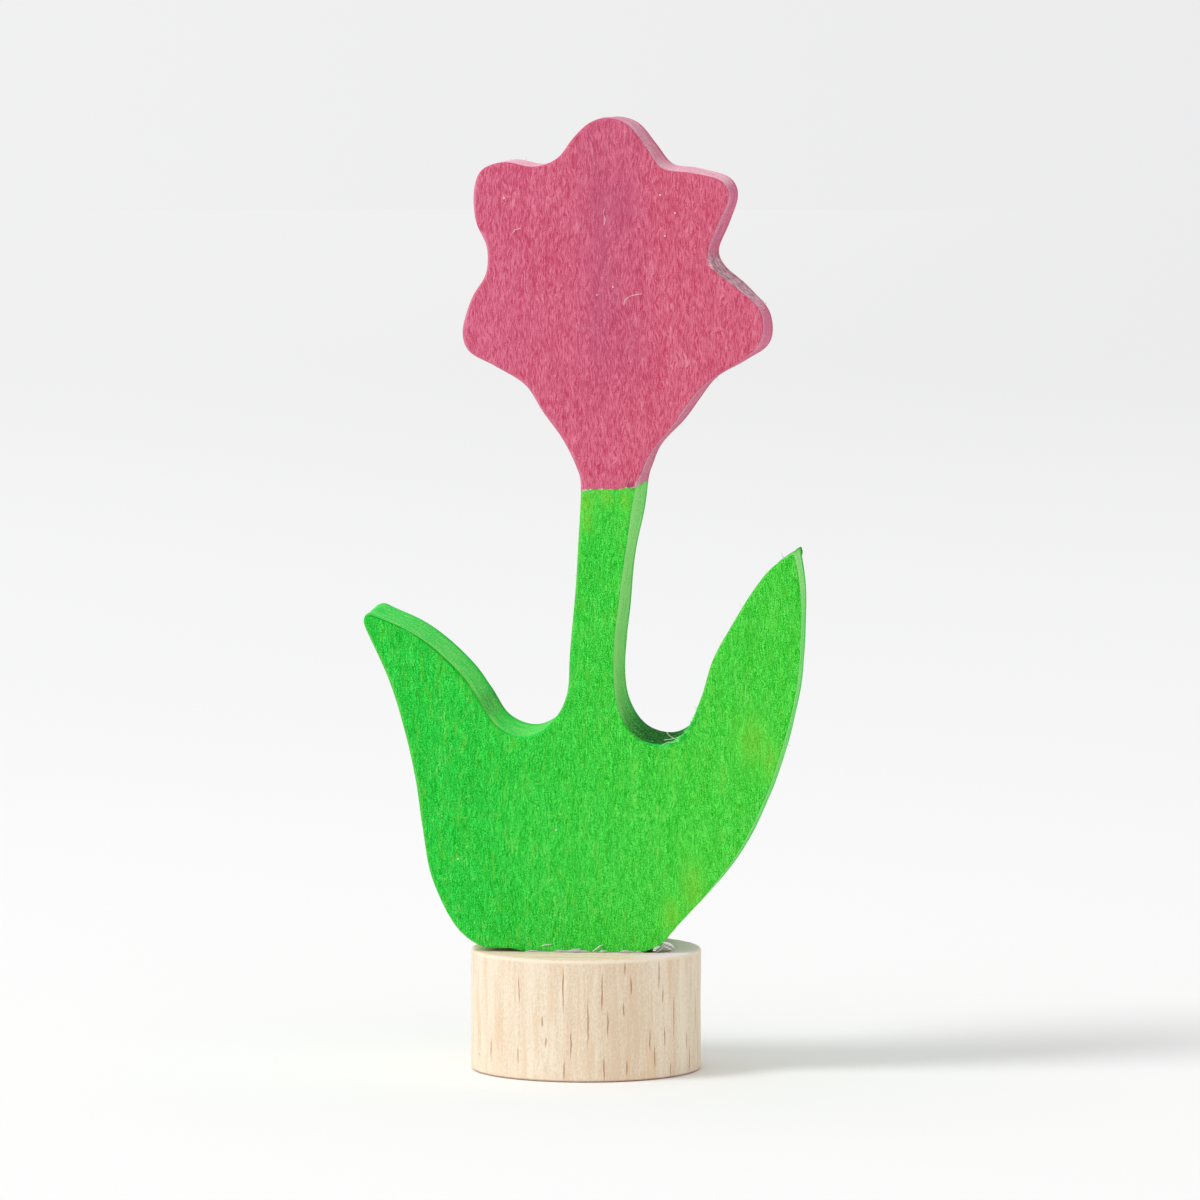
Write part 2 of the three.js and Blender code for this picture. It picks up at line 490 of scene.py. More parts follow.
class Effects:
    """Effects that several finishes share, each a shader group built once."""

    def __init__(self) -> None:
        """Builds the groups."""
        self.fibres = self._fibres()
        self.patch = self._patch()
        self.flecks = self._flecks()

    def fibre(self, sheet: Sheet, place: Socket, width: float, length: float) -> Socket:
        """Upright fibres of a width and a length in millimetres, from 0 to 1."""
        return sheet.effect(self.fibres, Place=place, Width=width, Length=length)

    def spot(self, sheet: Sheet, place: Socket, middle: Triple, reach: Triple, uneven: Value = 0.0) -> Socket:
        """Share of one soft patch, whose middle and reach are in millimetres."""
        middle, reach = (tuple(part * MM for part in size) for size in (middle, reach))
        return sheet.effect(self.patch, Place=place, Middle=middle, Reach=reach, Uneven=uneven)

    def scattered(self, sheet: Sheet, place: Socket, kept: float, fill: float) -> Socket:
        """Share of scattered flecks, from the share of cells kept and how much of a cell they fill."""
        return sheet.effect(self.flecks, Place=place, Kept=kept, Fill=fill)

    @staticmethod
    def _group(name: str, **inputs: float | Triple) -> tuple[Sheet, list[Socket], Socket]:
        """A new group with these inputs and one number as its output.

        Args:
            name: The group's name.
            inputs: First value for each input.

        Returns:
            The sheet, the inputs' sockets and the output's socket.
        """
        tree = bpy.data.node_groups.new(name, "ShaderNodeTree")
        for key, value in inputs.items():
            kind = "NodeSocketVector" if isinstance(value, tuple) else "NodeSocketFloat"
            tree.interface.new_socket(key, in_out="INPUT", socket_type=kind).default_value = value
        tree.interface.new_socket("Share", in_out="OUTPUT", socket_type="NodeSocketFloat")
        sheet = Sheet(tree)
        entry, leave = sheet.add("NodeGroupInput"), sheet.add("NodeGroupOutput")
        return sheet, [entry.outputs[key] for key in inputs], leave.inputs[0]

    def _fibres(self) -> bpy.types.NodeTree:
        """Upright fibres: cloudy noise stretched to a width and a length in millimetres."""
        sheet, (place, width, length), result = self._group(
            "upright fibres", Place=(0.0, 0.0, 0.0), Width=0.15, Length=1.0
        )
        cell = sheet.gathered(*(sheet.math("DIVIDE", 1.0 / MM, size) for size in (width, width, length)))
        sheet.feed(result, sheet.noise(sheet.vector("MULTIPLY", place, cell)))
        return sheet.tree

    def _patch(self) -> bpy.types.NodeTree:
        """One soft patch: full within half its reach, gone at its reach, more or less by an unevenness."""
        sheet, (place, middle, reach, uneven), result = self._group(
            "soft patch", Place=(0.0, 0.0, 0.0), Middle=(0.0, 0.0, 0.0), Reach=(MM, MM, MM), Uneven=0.0
        )
        offset = sheet.vector("SUBTRACT", place, middle)
        far = sheet.vector("LENGTH", sheet.vector("DIVIDE", offset, reach))
        sheet.feed(result, sheet.ramp(sheet.plus(far, uneven), 0.5, 1.1, 1.0, 0.0))
        return sheet.tree

    def _flecks(self) -> bpy.types.NodeTree:
        """Scattered spindles, one in a cell of scaled space where the cell's own number is low."""
        sheet, (place, share, fill), result = self._group(
            "flecks", Place=(0.0, 0.0, 0.0), Kept=0.2, Fill=0.4
        )
        cells = sheet.named(sheet.add("ShaderNodeTexVoronoi"), Vector=place, Scale=1.0, Randomness=0.9)
        own = sheet.split(cells.outputs["Color"])
        kept = sheet.math("LESS_THAN", own[0], share)
        reach = sheet.times(fill, sheet.math("MULTIPLY_ADD", own[1], 0.7, 0.5))
        inside = sheet.ramp(cells.outputs["Distance"], sheet.times(reach, 0.55), reach, 1.0, 0.0)
        strength = sheet.math("MULTIPLY_ADD", own[2], 0.6, 0.4)
        sheet.feed(result, sheet.times(sheet.times(inside, kept), strength))
        return sheet.tree


# Finishes


@dataclass(frozen=True)
class Stain:
    """One transparent stain: on the faces, on the sawn edge and on the arris."""

    deep: Tone
    pale: Tone
    deep_right: Tone
    pale_right: Tone
    strand: Tone
    edge: Tone
    # the pale of the saw streaks, and the painted sheen and top light on the sawn edge
    edge_pale: Tone
    scar: Tone
    scar_pale: Tone
    # painted highlight for the rounded arrises that face the lamp
    rim: Tone


GREEN = Stain(
    deep=Tone(0, 168, 14),
    pale=Tone(66, 244, 92),
    deep_right=Tone(2, 182, 12),
    pale_right=Tone(104, 248, 90),
    strand=Tone(128, 240, 104),
    edge=Tone(52, 220, 84),
    edge_pale=Tone(166, 246, 142),
    scar=Tone(70, 134, 70),
    scar_pale=Tone(166, 222, 150),
    rim=Tone(132, 222, 98),
)
PINK = Stain(
    deep=Tone(199, 68, 103),
    pale=Tone(234, 126, 156),
    deep_right=Tone(199, 65, 98),
    pale_right=Tone(234, 123, 150),
    strand=Tone(244, 154, 174),
    edge=Tone(214, 108, 142),
    edge_pale=Tone(246, 196, 210),
    scar=Tone(140, 98, 112),
    scar_pale=Tone(226, 194, 204),
    rim=Tone(234, 162, 184),
)


@dataclass(frozen=True)
class Grain:
    """The wood at a place, each value about 0 to 1."""

    tone: Socket
    streak: Socket
    strand: Socket
    saw: Socket
    scar: Socket
    torn: Socket
    right: Socket


@dataclass(frozen=True)
class Blot:
    """A small blot on the line between the stains, in millimetres."""

    tone: Tone
    share: float
    middle: Triple
    reach: Triple
    uneven: float


@dataclass(frozen=True)
class StainedLime:
    """Lime wood stained green and pink, with a ragged line between the two stains.

    A grain is given by the width and the length of its fibres, a yellow patch by
    its place across and up and its reach across and up, all in millimetres.
    """

    effects: Effects
    line_height: float = 50.55
    front: float = -4.0
    short: tuple[float, float] = (0.045, 0.1)
    wavy: tuple[float, float] = (0.055, 0.6)
    sway: tuple[float, float] = (0.9, 1.3)
    sway_reach: float = 0.7
    ridge: tuple[float, float] = (0.5, 2.8)
    streak: tuple[float, float] = (0.5, 6.0)
    band: tuple[float, float] = (2.6, 16.0)
    relief: float = 0.05
    yellow: Tone = Tone(142, 224, 66)
    soaked: Tone = Tone(180, 78, 116)
    # dark green in the notches: partly stain soaked into the end grain, partly painted shade
    pooled_stain_and_shade: Tone = Tone(0, 78, 16)
    # painted highlight: the bright cyan-green where the lamp lights the notches' front rims
    notch_highlight: Tone = Tone(30, 238, 92)
    bounced: Tone = Tone(204, 198, 190)
    bare: Tone = Tone(246, 222, 226)
    scorch: Tone = Tone(122, 52, 72)
    blots: tuple[Blot, ...] = (
        Blot(scorch, 0.5, (4.2, -4.0, 50.95), (0.75, 1.5, 0.5), 4.0),
        Blot(bare, 0.75, (4.76, -4.0, 50.9), (0.22, 0.7, 0.4), 2.0),
    )
    yellow_patches: Spots = (
        (0.3, 49.3, 1.1, 1.7), (0.4, 47.9, 0.7, 1.3), (2.1, 49.9, 0.8, 1.1), (3.7, 49.7, 0.6, 1.3),
        (14.7, 29.0, 1.5, 2.4), (16.2, 27.4, 0.9, 2.0), (9.6, 16.2, 1.2, 2.8), (7.8, 13.8, 1.0, 1.9),
    )

    def material(self) -> bpy.types.Material:
        """The finish as a material that reads the board's own values."""
        sheet, material = Sheet.of_material("stained lime")
        place = sheet.place()
        wood = self._grain(sheet, place)
        green = sheet.mix(self._yellow(sheet, place, wood), self._stained(sheet, GREEN, wood), self.yellow)
        pink = sheet.mix(self._soaked(sheet, place, wood), self._stained(sheet, PINK, wood), self.soaked)
        colour = self._line(sheet, place, wood, green, pink)
        # darker stain soaked into the notches, with painted shade
        soaked_and_shaded = sheet.times(sheet.stored("pooled_stain_and_shade"), sheet.ramp(wood.saw, 0.4, 0.62, 1.0, 0.5))
        # painted highlight on the rounded front rims inside the notches
        notch_highlight_share = sheet.times(sheet.stored("notch_highlight_share"), sheet.ramp(wood.tone, 0.4, 0.6, 0.4, 0.95))
        bounced = sheet.times(sheet.add("ShaderNodeLightPath").outputs["Is Diffuse Ray"], 0.55)
        for share, tone in ((soaked_and_shaded, self.pooled_stain_and_shade), (notch_highlight_share, self.notch_highlight), (bounced, self.bounced)):
            colour = sheet.mix(share, colour, tone)
        sawn = sheet.stored("sawn")
        height = sheet.times(wood.tone, sheet.ramp(sawn, 0.0, 1.0, 1.0, 0.1))
        sheet.surface(
            Base_Color=colour,
            Roughness=sheet.ramp(sheet.plus(wood.streak, sawn), 0.3, 1.1, 0.6, 0.95),
            Normal=sheet.bump(height, self.relief),
            Specular_IOR_Level=0.12,
        )
        return material

    def _grain(self, sheet: Sheet, place: Socket) -> Grain:
        """The wood's values: fine grain, streaks, bright strands, saw marks and scars.

        The fine grain mixes short and wavy fibres. The pink stain shows more of
        the wavy ones and the green stain shows them all more strongly.

        Args:
            sheet: The material's sheet.
            place: Place on the object.

        Returns:
            The values.
        """
        fibre = self.effects.fibre
        across, _, up = sheet.split(place)
        aside = (self.sway_reach * MM, 0.0, 0.0)
        swayed = sheet.vector("MULTIPLY_ADD", fibre(sheet, place, *self.sway), aside, place)
        short, wavy, level = (fibre(sheet, swayed, *size) for size in (self.short, self.wavy, self.ridge))
        streak, band = (fibre(sheet, place, *size) for size in (self.streak, self.band))
        low, high = self.line_height - 0.5, self.line_height + 0.5
        share = sheet.span(up, low, high, 0.36, 0.6)
        tone = sheet.math("MULTIPLY_ADD", sheet.math("SUBTRACT", wavy, short), share, short)
        tone = sheet.swing(tone, sheet.ramp(share, 0.36, 0.6, 1.8, 1.2), 0.5)
        tone = sheet.swing(band, 0.06, sheet.swing(streak, 0.12, tone))
        ridge = sheet.ramp(sheet.apart(level, 0.5), 0.0, 0.016, 1.0, 0.0)
        few = sheet.noise(place, (700.0, 700.0, 350.0), shift=(9, 4, 2), detail=1.0)
        run = sheet.stored("run", vector=True)
        saw = sheet.noise(run, (0.55, 1.7, 1.0), detail=3.0)
        nap = sheet.noise(run, (6.5, 1.1, 1.0), shift=(7, 3, 0), detail=3.0, roughness=0.65)
        scarred = sheet.stored("scarred")
        scar = sheet.noise(run, (1.4, 1.5, 1.0), shift=(4, 8, 0), detail=3.0, roughness=0.7)
        scar = sheet.ramp(sheet.plus(scar, scarred), 0.75, 1.25)
        return Grain(
            tone=tone,
            streak=streak,
            strand=sheet.times(ridge, sheet.ramp(few, 0.46, 0.6, 0.0, 0.75)),
            saw=sheet.math("MULTIPLY_ADD", nap, 0.58, sheet.times(saw, 0.42)),
            scar=sheet.times(scar, sheet.ramp(scarred, 0.05, 0.5)),
            torn=sheet.noise(run, (1.7, 0.75, 1.0), turn=12.0, shift=(1, 5, 0), roughness=0.6),
            right=sheet.span(across, -14.0, 13.0),
        )

    def _stained(self, sheet: Sheet, stain: Stain, wood: Grain) -> Socket:
        """Colour of one stain on the faces, the arrises and the sawn edge.

        Args:
            sheet: The material's sheet.
            stain: The stain's tones.
            wood: The wood's values.

        Returns:
            The colour.
        """
        deep = sheet.mix(wood.right, stain.deep, stain.deep_right)
        pale = sheet.mix(wood.right, stain.pale, stain.pale_right)
        face = sheet.mix(sheet.ramp(wood.tone, 0.42, 0.58), deep, pale)
        face = sheet.mix(wood.strand, face, stain.strand)
        # real saw streaks, lifted by the painted sheen and top light on the walls
        saw_marks_and_sheen = sheet.swing(wood.saw, 3.6, sheet.stored("painted_sheen"), clamp=True)
        edge = sheet.mix(saw_marks_and_sheen, stain.edge, stain.edge_pale)
        torn = sheet.mix(sheet.ramp(wood.torn, 0.38, 0.62), stain.scar, stain.scar_pale)
        edge = sheet.mix(sheet.times(wood.scar, 0.75), edge, torn)
        colour = sheet.mix(sheet.stored("sawn"), face, edge)
        # a dark line on arrises that face up and right, and painted shade on back arrises turned from the
        # lamp
        colour = sheet.mix(sheet.times(sheet.stored("dark_arris_and_shade"), 0.75), colour, stain.deep)
        # painted highlight on rounded arrises that look left, towards the lamp
        rim = sheet.times(sheet.stored("arris"), sheet.ramp(wood.streak, 0.3, 0.65, 0.3, 0.9))
        return sheet.mix(rim, colour, stain.rim)

    def _yellow(self, sheet: Sheet, place: Socket, wood: Grain) -> Socket:
        """Share of yellow where the green stain took thinly."""
        total: Value = 0.0
        uneven = sheet.swing(wood.tone, 4.0)
        for across, up, wide, tall in self.yellow_patches:
            patch = self.effects.spot(sheet, place, (across, self.front, up), (wide, 6.0, tall), uneven)
            total = sheet.math("MAXIMUM", patch, total)
        thin = sheet.times(total, sheet.ramp(wood.tone, 0.42, 0.58, 0.25, 0.8))
        spots = sheet.noise(place, (3600.0, 900.0, 550.0), shift=(3, 1, 7))
        return sheet.math("MAXIMUM", thin, sheet.ramp(spots, 0.55, 0.75, 0.0, 0.25))

    def _soaked(self, sheet: Sheet, place: Socket, wood: Grain) -> Socket:
        """Share of the cooler tone down the blossom's middle, where the pink stain soaked in."""
        across, _, up = sheet.split(place)
        middle = sheet.span(sheet.apart(across, 2.4 * MM), 0.5, 4.5, 0.45, 0.0)
        cloud = sheet.noise(place, (260.0, 260.0, 110.0), shift=(2, 6, 3), detail=3.0)
        cloud = sheet.ramp(sheet.plus(cloud, wood.tone), 0.9, 1.15, 1.0, 0.2)
        return sheet.times(sheet.times(middle, sheet.span(up, 56.0, 64.0)), cloud)

    def _line(self, sheet: Sheet, place: Socket, wood: Grain, green: Socket, pink: Socket) -> Socket:
        """The two stains on either side of their ragged line.

        The line stands at a height that steps up towards the stem's right side
        and dips at its left side, with fine raggedness. Specks along it are bare
        or dark.

        Args:
            sheet: The material's sheet.
            place: Place on the object.
            wood: The wood's values.
            green: Colour below the line.
            pink: Colour above the line.

        Returns:
            The colour.
        """
        across, _, up = sheet.split(place)
        rough = sheet.noise(place, (3200.0, 1500.0, 60.0), detail=3.0, roughness=0.7)
        step = sheet.span(across, 3.2, 3.9, 0.0, 0.16 * MM)
        step = sheet.plus(step, sheet.span(across, 0.1, 0.6, -0.14 * MM, 0.0))
        height = sheet.swing(rough, 0.36 * MM, self.line_height * MM)
        above = sheet.math("SUBTRACT", up, sheet.plus(height, step))
        near = sheet.span(sheet.math("ABSOLUTE", above), 0.02, 0.09, 1.0, 0.0)
        gaps = sheet.noise(place, (4600.0, 2300.0, 900.0), shift=(5, 2, 1))
        dark = sheet.times(near, sheet.ramp(gaps, 0.44, 0.56, 0.5, 0.0))
        bare = sheet.times(near, sheet.ramp(gaps, 0.57, 0.64, 0.0, 0.85))
        colour = sheet.mix(sheet.span(above, -0.03, 0.03), green, pink)
        colour = sheet.mix(bare, sheet.mix(dark, colour, self.scorch), self.bare)
        for blot in self.blots:
            uneven = sheet.swing(wood.tone, blot.uneven)
            share = self.effects.spot(sheet, place, blot.middle, blot.reach, uneven)
            colour = sheet.mix(sheet.times(share, blot.share), colour, blot.tone)
        return colour


@dataclass(frozen=True)
class LiftedFibre:
    """Pale fibres and dust in the tone of the stain they stand on, and nap in a painted highlight."""

    line_height: float = 50.6
    green: Tone = Tone(120, 214, 128)
    pink: Tone = Tone(206, 136, 156)
    faded: Tone = Tone(240, 236, 230)
    lint: Tone = Tone(252, 240, 238)
    # painted highlight for the nap that lies on the notches' lit rims
    notch_highlight: Tone = Tone(14, 222, 56)
    notch_highlight_pale: Tone = Tone(108, 255, 112)

    def material(self) -> bpy.types.Material:
        """The finish as a material."""
        sheet, material = Sheet.of_material("lifted fibre")
        place = sheet.place()
        pale = sheet.noise(place, (2000.0, 2000.0, 2000.0), detail=0.0)
        notch_highlight_share = sheet.stored("notch_highlight_share")
        faded = sheet.times(sheet.ramp(pale, 0.4, 0.75, 0.0, 0.4), sheet.math("SUBTRACT", 1.0, notch_highlight_share))
        bright = sheet.times(sheet.stored("bright"), sheet.ramp(pale, 0.3, 0.6, 0.3, 0.85))
        notch_highlight = sheet.mix(sheet.ramp(pale, 0.35, 0.65), self.notch_highlight, self.notch_highlight_pale)
        above = sheet.span(sheet.split(place)[2], self.line_height - 0.1, self.line_height + 0.1)
        colour = sheet.mix(above, self.green, self.pink)
        for share, tone in ((faded, self.faded), (bright, self.lint), (notch_highlight_share, notch_highlight)):
            colour = sheet.mix(share, colour, tone)
        sheet.surface(Base_Color=colour, Roughness=sheet.ramp(pale, 0.3, 0.7, 0.6, 0.8))
        return material


@dataclass(frozen=True)
class Beech:
    """Bare beech: rays that show as upright dashes, fine pores and soft growth bands.

    Dashes stand at an angle round the side, in degrees from the front towards
    +X, and run from a low to a high end in millimetres. Flecks are given by their
    cells to a metre, the share of cells kept and how much of a cell they fill.
    """

    effects: Effects
    side: float = 9.985
    top: float = 10.5
    ray_turn: float = -12.0
    relief: float = 0.012
    cream: Tone = Tone(250, 236, 214)
    tan: Tone = Tone(233, 208, 178)
    amber: Tone = Tone(238, 202, 162)
    # the end grain's cream, tinted pinker against the board's green bounce light
    end: Tone = Tone(254, 232, 214)
    end_line: Tone = Tone(246, 210, 184)
    # painted counter-tint for the green bounce light on the shaded right of the top
    bounce_counter_tint: Tone = Tone(252, 234, 248)
    # painted highlight along the top's rounded rim
    rim: Tone = Tone(252, 238, 214)
    dash: Tone = Tone(178, 124, 90)
    # a burnt line at the foot, and painted shade where the plug meets the floor
    burnt_and_contact_shade: Tone = Tone(176, 120, 96)
    # dark patch under the board's rising flank: glue soaked into the wood, and painted shade under the
    # overhang
    soaked_and_shaded: Tone = Tone(112, 78, 48)
    soaked_and_shaded_place: tuple[float, float] = (6.6, -2.5)
    soaked_and_shaded_reach: Triple = (1.3, 1.3, 0.6)
    dash_width: float = 0.08
    dash_sway: float = 0.22
    flecks: tuple[tuple[Triple, float, float], ...] = (
        ((1100.0, 0.0, 380.0), 0.3, 0.16),
        ((1900.0, 0.0, 700.0), 0.35, 0.17),
    )
    dashes: tuple[Triple, ...] = (
        (-49.9, 1.31, 3.21), (-30.7, 1.45, 2.83), (-30.1, 6.64, 8.88), (-17.1, 4.7, 5.65),
        (-15.0, 2.99, 3.86), (-6.3, 5.98, 9.85), (-5.8, 0.21, 1.84), (-2.4, 2.11, 4.35),
        (6.0, 3.07, 6.86), (12.9, 6.16, 9.26), (13.9, 0.04, 2.11), (15.9, 3.91, 5.98),
        (24.0, 5.67, 6.79), (24.5, 9.2, 10.41), (25.6, 0.57, 1.78), (27.7, 7.54, 9.01),
        (38.3, 2.51, 4.32), (41.3, 1.0, 2.82), (43.8, 7.8, 10.22), (46.4, 6.55, 7.76),
        (47.8, 2.72, 4.45), (52.0, 0.06, 1.27), (54.2, 3.49, 6.95), (65.6, 2.23, 3.71),
        (68.8, 0.26, 2.43), (76.9, 3.65, 7.22),
    )

    def material(self) -> bpy.types.Material:
        """The finish as a material."""
        sheet, material = Sheet.of_material("beech")
        place = sheet.place()
        x, y, z = sheet.split(place)
        angle = sheet.math("ARCTAN2", x, sheet.times(y, -1.0))
        fine = self.effects.fibre(sheet, place, 0.1, 0.26)
        mottle = self.effects.fibre(sheet, place, 0.7, 8.0)
        dashes = self._dashes(sheet, sheet.gathered(sheet.times(angle, self.side * MM), 0.0, z))
        ends = sheet.span(z, self.top - 0.1, self.top - 0.02)
        ends = sheet.math("MAXIMUM", ends, sheet.span(z, 0.0, 0.02, 1.0, 0.0))
        # glue soaked in, and painted shade under the overhanging flank
        middle = (*self.soaked_and_shaded_place, self.top)
        soaked_and_shaded = self.effects.spot(sheet, place, middle, self.soaked_and_shaded_reach, sheet.swing(fine, 1.5))
        colour = self._side(sheet, place, angle, fine, mottle)
        for share, tone in (
            (sheet.times(dashes, 0.9), self.dash),
            # painted highlight along the top's rounded rim
            (sheet.span(z, self.top - 0.42, self.top - 0.2, 0.0, 0.7), self.rim),
            # burnt line and painted contact shade at the foot
            (sheet.span(z, 0.04, 0.22, 0.65, 0.0), self.burnt_and_contact_shade),
            (ends, self._end(sheet, place)),
            (sheet.times(soaked_and_shaded, 0.6), self.soaked_and_shaded),
        ):
            colour = sheet.mix(share, colour, tone)
        sheet.surface(
            Base_Color=colour,
            Roughness=sheet.ramp(mottle, 0.3, 0.7, 0.5, 0.62),
            Normal=sheet.bump(sheet.math("SUBTRACT", fine, sheet.times(dashes, 0.5)), self.relief),
            Specular_IOR_Level=0.3,
        )
        return material

    def _side(self, sheet: Sheet, place: Socket, angle: Socket, fine: Socket, mottle: Socket) -> Socket:
        """Colour of the turned side, without its dashes.

        Args:
            sheet: The material's sheet.
            place: Place on the object.
            angle: Angle round the side, from the front.
            fine: Short fine grain from 0 to 1.
            mottle: Broad grain from 0 to 1.

        Returns:
            The colour.
        """
        pores = self.effects.fibre(sheet, place, 0.15, 2.8)
        rings = sheet.noise(place, (160.0, 620.0, 12.0), turn=self.ray_turn)
        grain: Value = 0.0
        for part, weight in ((pores, 0.16), (rings, 0.22), (mottle, 0.24), (fine, 0.38)):
            grain = sheet.math("MULTIPLY_ADD", part, weight, grain)
        # tanner at the front's middle, creamier round the sides: partly the wood's tone, partly painted
        # highlight on the sides
        middle = sheet.ramp(sheet.apart(angle, 0.15), 0.3, 0.8, 0.015, -0.025)
        colour = sheet.mix(sheet.ramp(sheet.plus(grain, middle), 0.38, 0.62), self.cream, self.tan)
        bands = self.effects.fibre(sheet, place, 0.62, 7.0)
        return sheet.mix(sheet.ramp(bands, 0.52, 0.72, 0.0, 0.6), colour, self.amber)

    def _dashes(self, sheet: Sheet, spread: Socket) -> Socket:
        """Share of the rays' dashes, the listed ones in front and scattered ones all round.

        Args:
            sheet: The material's sheet.
            spread: The side laid flat, with the way round it as X.

        Returns:
            The share.
        """
        wobble = self.effects.fibre(sheet, spread, 0.5, 1.2)
        shaken = sheet.vector("MULTIPLY_ADD", wobble, (self.dash_sway * MM, 0.0, 0.0), spread)
        total: Value = 0.0
        for turn, low, high in self.dashes:
            middle = (math.radians(turn) * self.side + self.dash_sway / 2, 0.0, (low + high) / 2)
            reach = (self.dash_width, 1.0, (high - low) / 1.65)
            total = sheet.math("MAXIMUM", self.effects.spot(sheet, shaken, middle, reach), total)
        large, small = (
            self.effects.scattered(sheet, sheet.vector("MULTIPLY", shaken, cells), kept, fill)
            for cells, kept, fill in self.flecks
        )
        behind = sheet.span(sheet.apart(sheet.split(spread)[0], 1.5 * MM), 10.5, 12.0)
        scattered = sheet.math("MAXIMUM", sheet.times(large, behind), sheet.times(small, 0.28))
        return sheet.math("MAXIMUM", sheet.times(total, 0.85), scattered)

    def _end(self, sheet: Sheet, place: Socket) -> Socket:
        """Colour of the end grain: growth rings as wavy lines with pores as dots, pinker to the right as a
        painted counter-tint for the board's green bounce light.
        """
        waves = sheet.noise(place, (90.0, 700.0, 10.0), turn=self.ray_turn, detail=3.0)
        dots = sheet.noise(place, (3000.0, 3000.0, 3000.0), detail=1.0)
        grain = sheet.math("MULTIPLY_ADD", dots, 0.4, sheet.times(waves, 0.6))
        colour = sheet.mix(sheet.ramp(grain, 0.44, 0.59), self.end, self.end_line)
        return sheet.mix(sheet.span(sheet.split(place)[0], 3.0, 7.5, 0.0, 0.75), colour, self.bounce_counter_tint)


@dataclass(frozen=True)
class ClearGlue:
    """Hardened clear glue, glossy, with a faint milky cast."""

    tint: Tone = Tone(246, 247, 245)
    milky: Tone = Tone(226, 228, 224)
    ripples: float = 1 / (0.7 * MM)
    relief: float = 0.03

    def material(self) -> bpy.types.Material:
        """The finish as a material."""
        sheet, material = Sheet.of_material("clear glue")
        ripple = sheet.noise(sheet.place(), (self.ripples,) * 3)
        sheet.surface(
            Base_Color=sheet.mix(sheet.ramp(ripple, 0.5, 0.8, 0.0, 0.5), self.tint, self.milky),
            Roughness=sheet.ramp(ripple, 0.3, 0.7, 0.1, 0.26),
            Normal=sheet.bump(ripple, self.relief),
            IOR=1.48,
            Transmission_Weight=0.5,
        )
        return material


# Sub-assemblies


def publish(piece: bpy.types.Object, slot: Slot, finish: bpy.types.Material, *nodes: str) -> None:
    """Dresses a piece, lets it ride on the figure and reports it.

    Args:
        piece: The piece.
        slot: The record's finish for it.
        finish: Its material.
        nodes: The CAD nodes that it stands for.
    """
    piece.data.materials.clear()
    piece.data.materials.append(finish)
    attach(piece, "root")
    if nodes:
        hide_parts(*nodes)
    LOG.info("%s: %d faces, %s", piece.name, len(piece.data.polygons), slot.value)


@dataclass
class PinJoint:
    """The upright bore that holds the dowel pin in plug and board."""

    middle: tuple[float, float] = (0.0, 2.0)
    radius: float = 3.3
    bottom: float = 4.2
    top: float = 19.05
    sides: int = 96

    def bore(self, piece: bpy.types.Object) -> None:
        """Cuts the bore out of a piece, which keeps its name and place."""
        angle = -2 * math.pi * np.arange(self.sides) / self.sides
        ring = self.middle + self.radius * np.column_stack([np.cos(angle), np.sin(angle)])
        rings = np.stack([np.insert(ring, 2, height, axis=1) for height in (self.bottom, self.top)])
        bit = closed_rings(rings[:, ::-1]).piece("bit")
        cut = piece.modifiers.new("bore", "BOOLEAN")
        cut.operation, cut.solver, cut.object = "DIFFERENCE", "EXACT", bit
        graph = bpy.context.evaluated_depsgraph_get()
        mesh = bpy.data.meshes.new_from_object(piece.evaluated_get(graph))
        plain = piece.data
        piece.modifiers.clear()
        piece.data = mesh
        mesh.name = piece.name
        mesh.set_sharp_from_angle(angle=math.radians(50))
        for leftover in (plain, bit.data):
            bpy.data.meshes.remove(leftover)


LEFT_LEAF = (
    (7.25, 0), (8.6, 0.65), (9.9, 1.9), (11.15, 4.05), (12.2, 6.8), (12.8, 10.45),
    (13.35, 14.45), (14.3, 18.85), (15.65, 23.1), (17.25, 26.65), (17.9, 28.25),
    (17.55, 28.9), (16.85, 28.7), (14, 27.5), (11.6, 25.8), (9.4, 23.65),
    (7.9, 21.55), (6.3, 19.25), (3.85, 18.4), (1.65, 19.6), (0.3, 22.05),
)
LEFT_PETALS = (
    (0.35, 1.8), (1.7, 4.4), (3.35, 6.6), (4.85, 8.85), (7.5, 10.5), (9.65, 11.7),
    (10.25, 13.5), (9.45, 16.3), (8.25, 18.4), (8.15, 20.7), (9.1, 22.9),
    (9.25, 25.4), (8.6, 27.3), (6.6, 28), (4.1, 27.6), (2.1, 28.3), (0.65, 30.1),
    (-0.8, 31.4),
)
RIGHT_PETALS = (
    (0.6, 1.6), (1.4, 3.25), (3.15, 5.35), (4.55, 7.4), (6.15, 9.15), (8.7, 10.8),
    (10.55, 12.3), (11, 14), (10.55, 15.6), (8.75, 17.2), (6.8, 18.75),
    (6.2, 20.35), (7.15, 22.75), (8, 24.75), (7.9, 25.85), (7.05, 26.6), (4.65, 27.1),
    (2.3, 27.45), (0.9, 29.3), (-0.6, 31.15), (-2.25, 31.75),
)
RIGHT_LEAF_INSIDE = (
    (0.2, 21.35), (1.7, 18.6), (4.2, 17.75), (6.2, 18.95), (7.5, 21.85),
    (8.5, 25.15), (10.05, 27.95), (11.95, 31.05), (13.75, 33.2), (15.5, 34.35),
)
RIGHT_LEAF_OUTSIDE = (
    (15.95, 32), (16.15, 28.45), (15.85, 23.25), (14.75, 18.35), (13.05, 13.25),
    (10.85, 8.7), (8.15, 5.05), (5.45, 2.05), (4.1, 0.6), (2.45, 0),
)


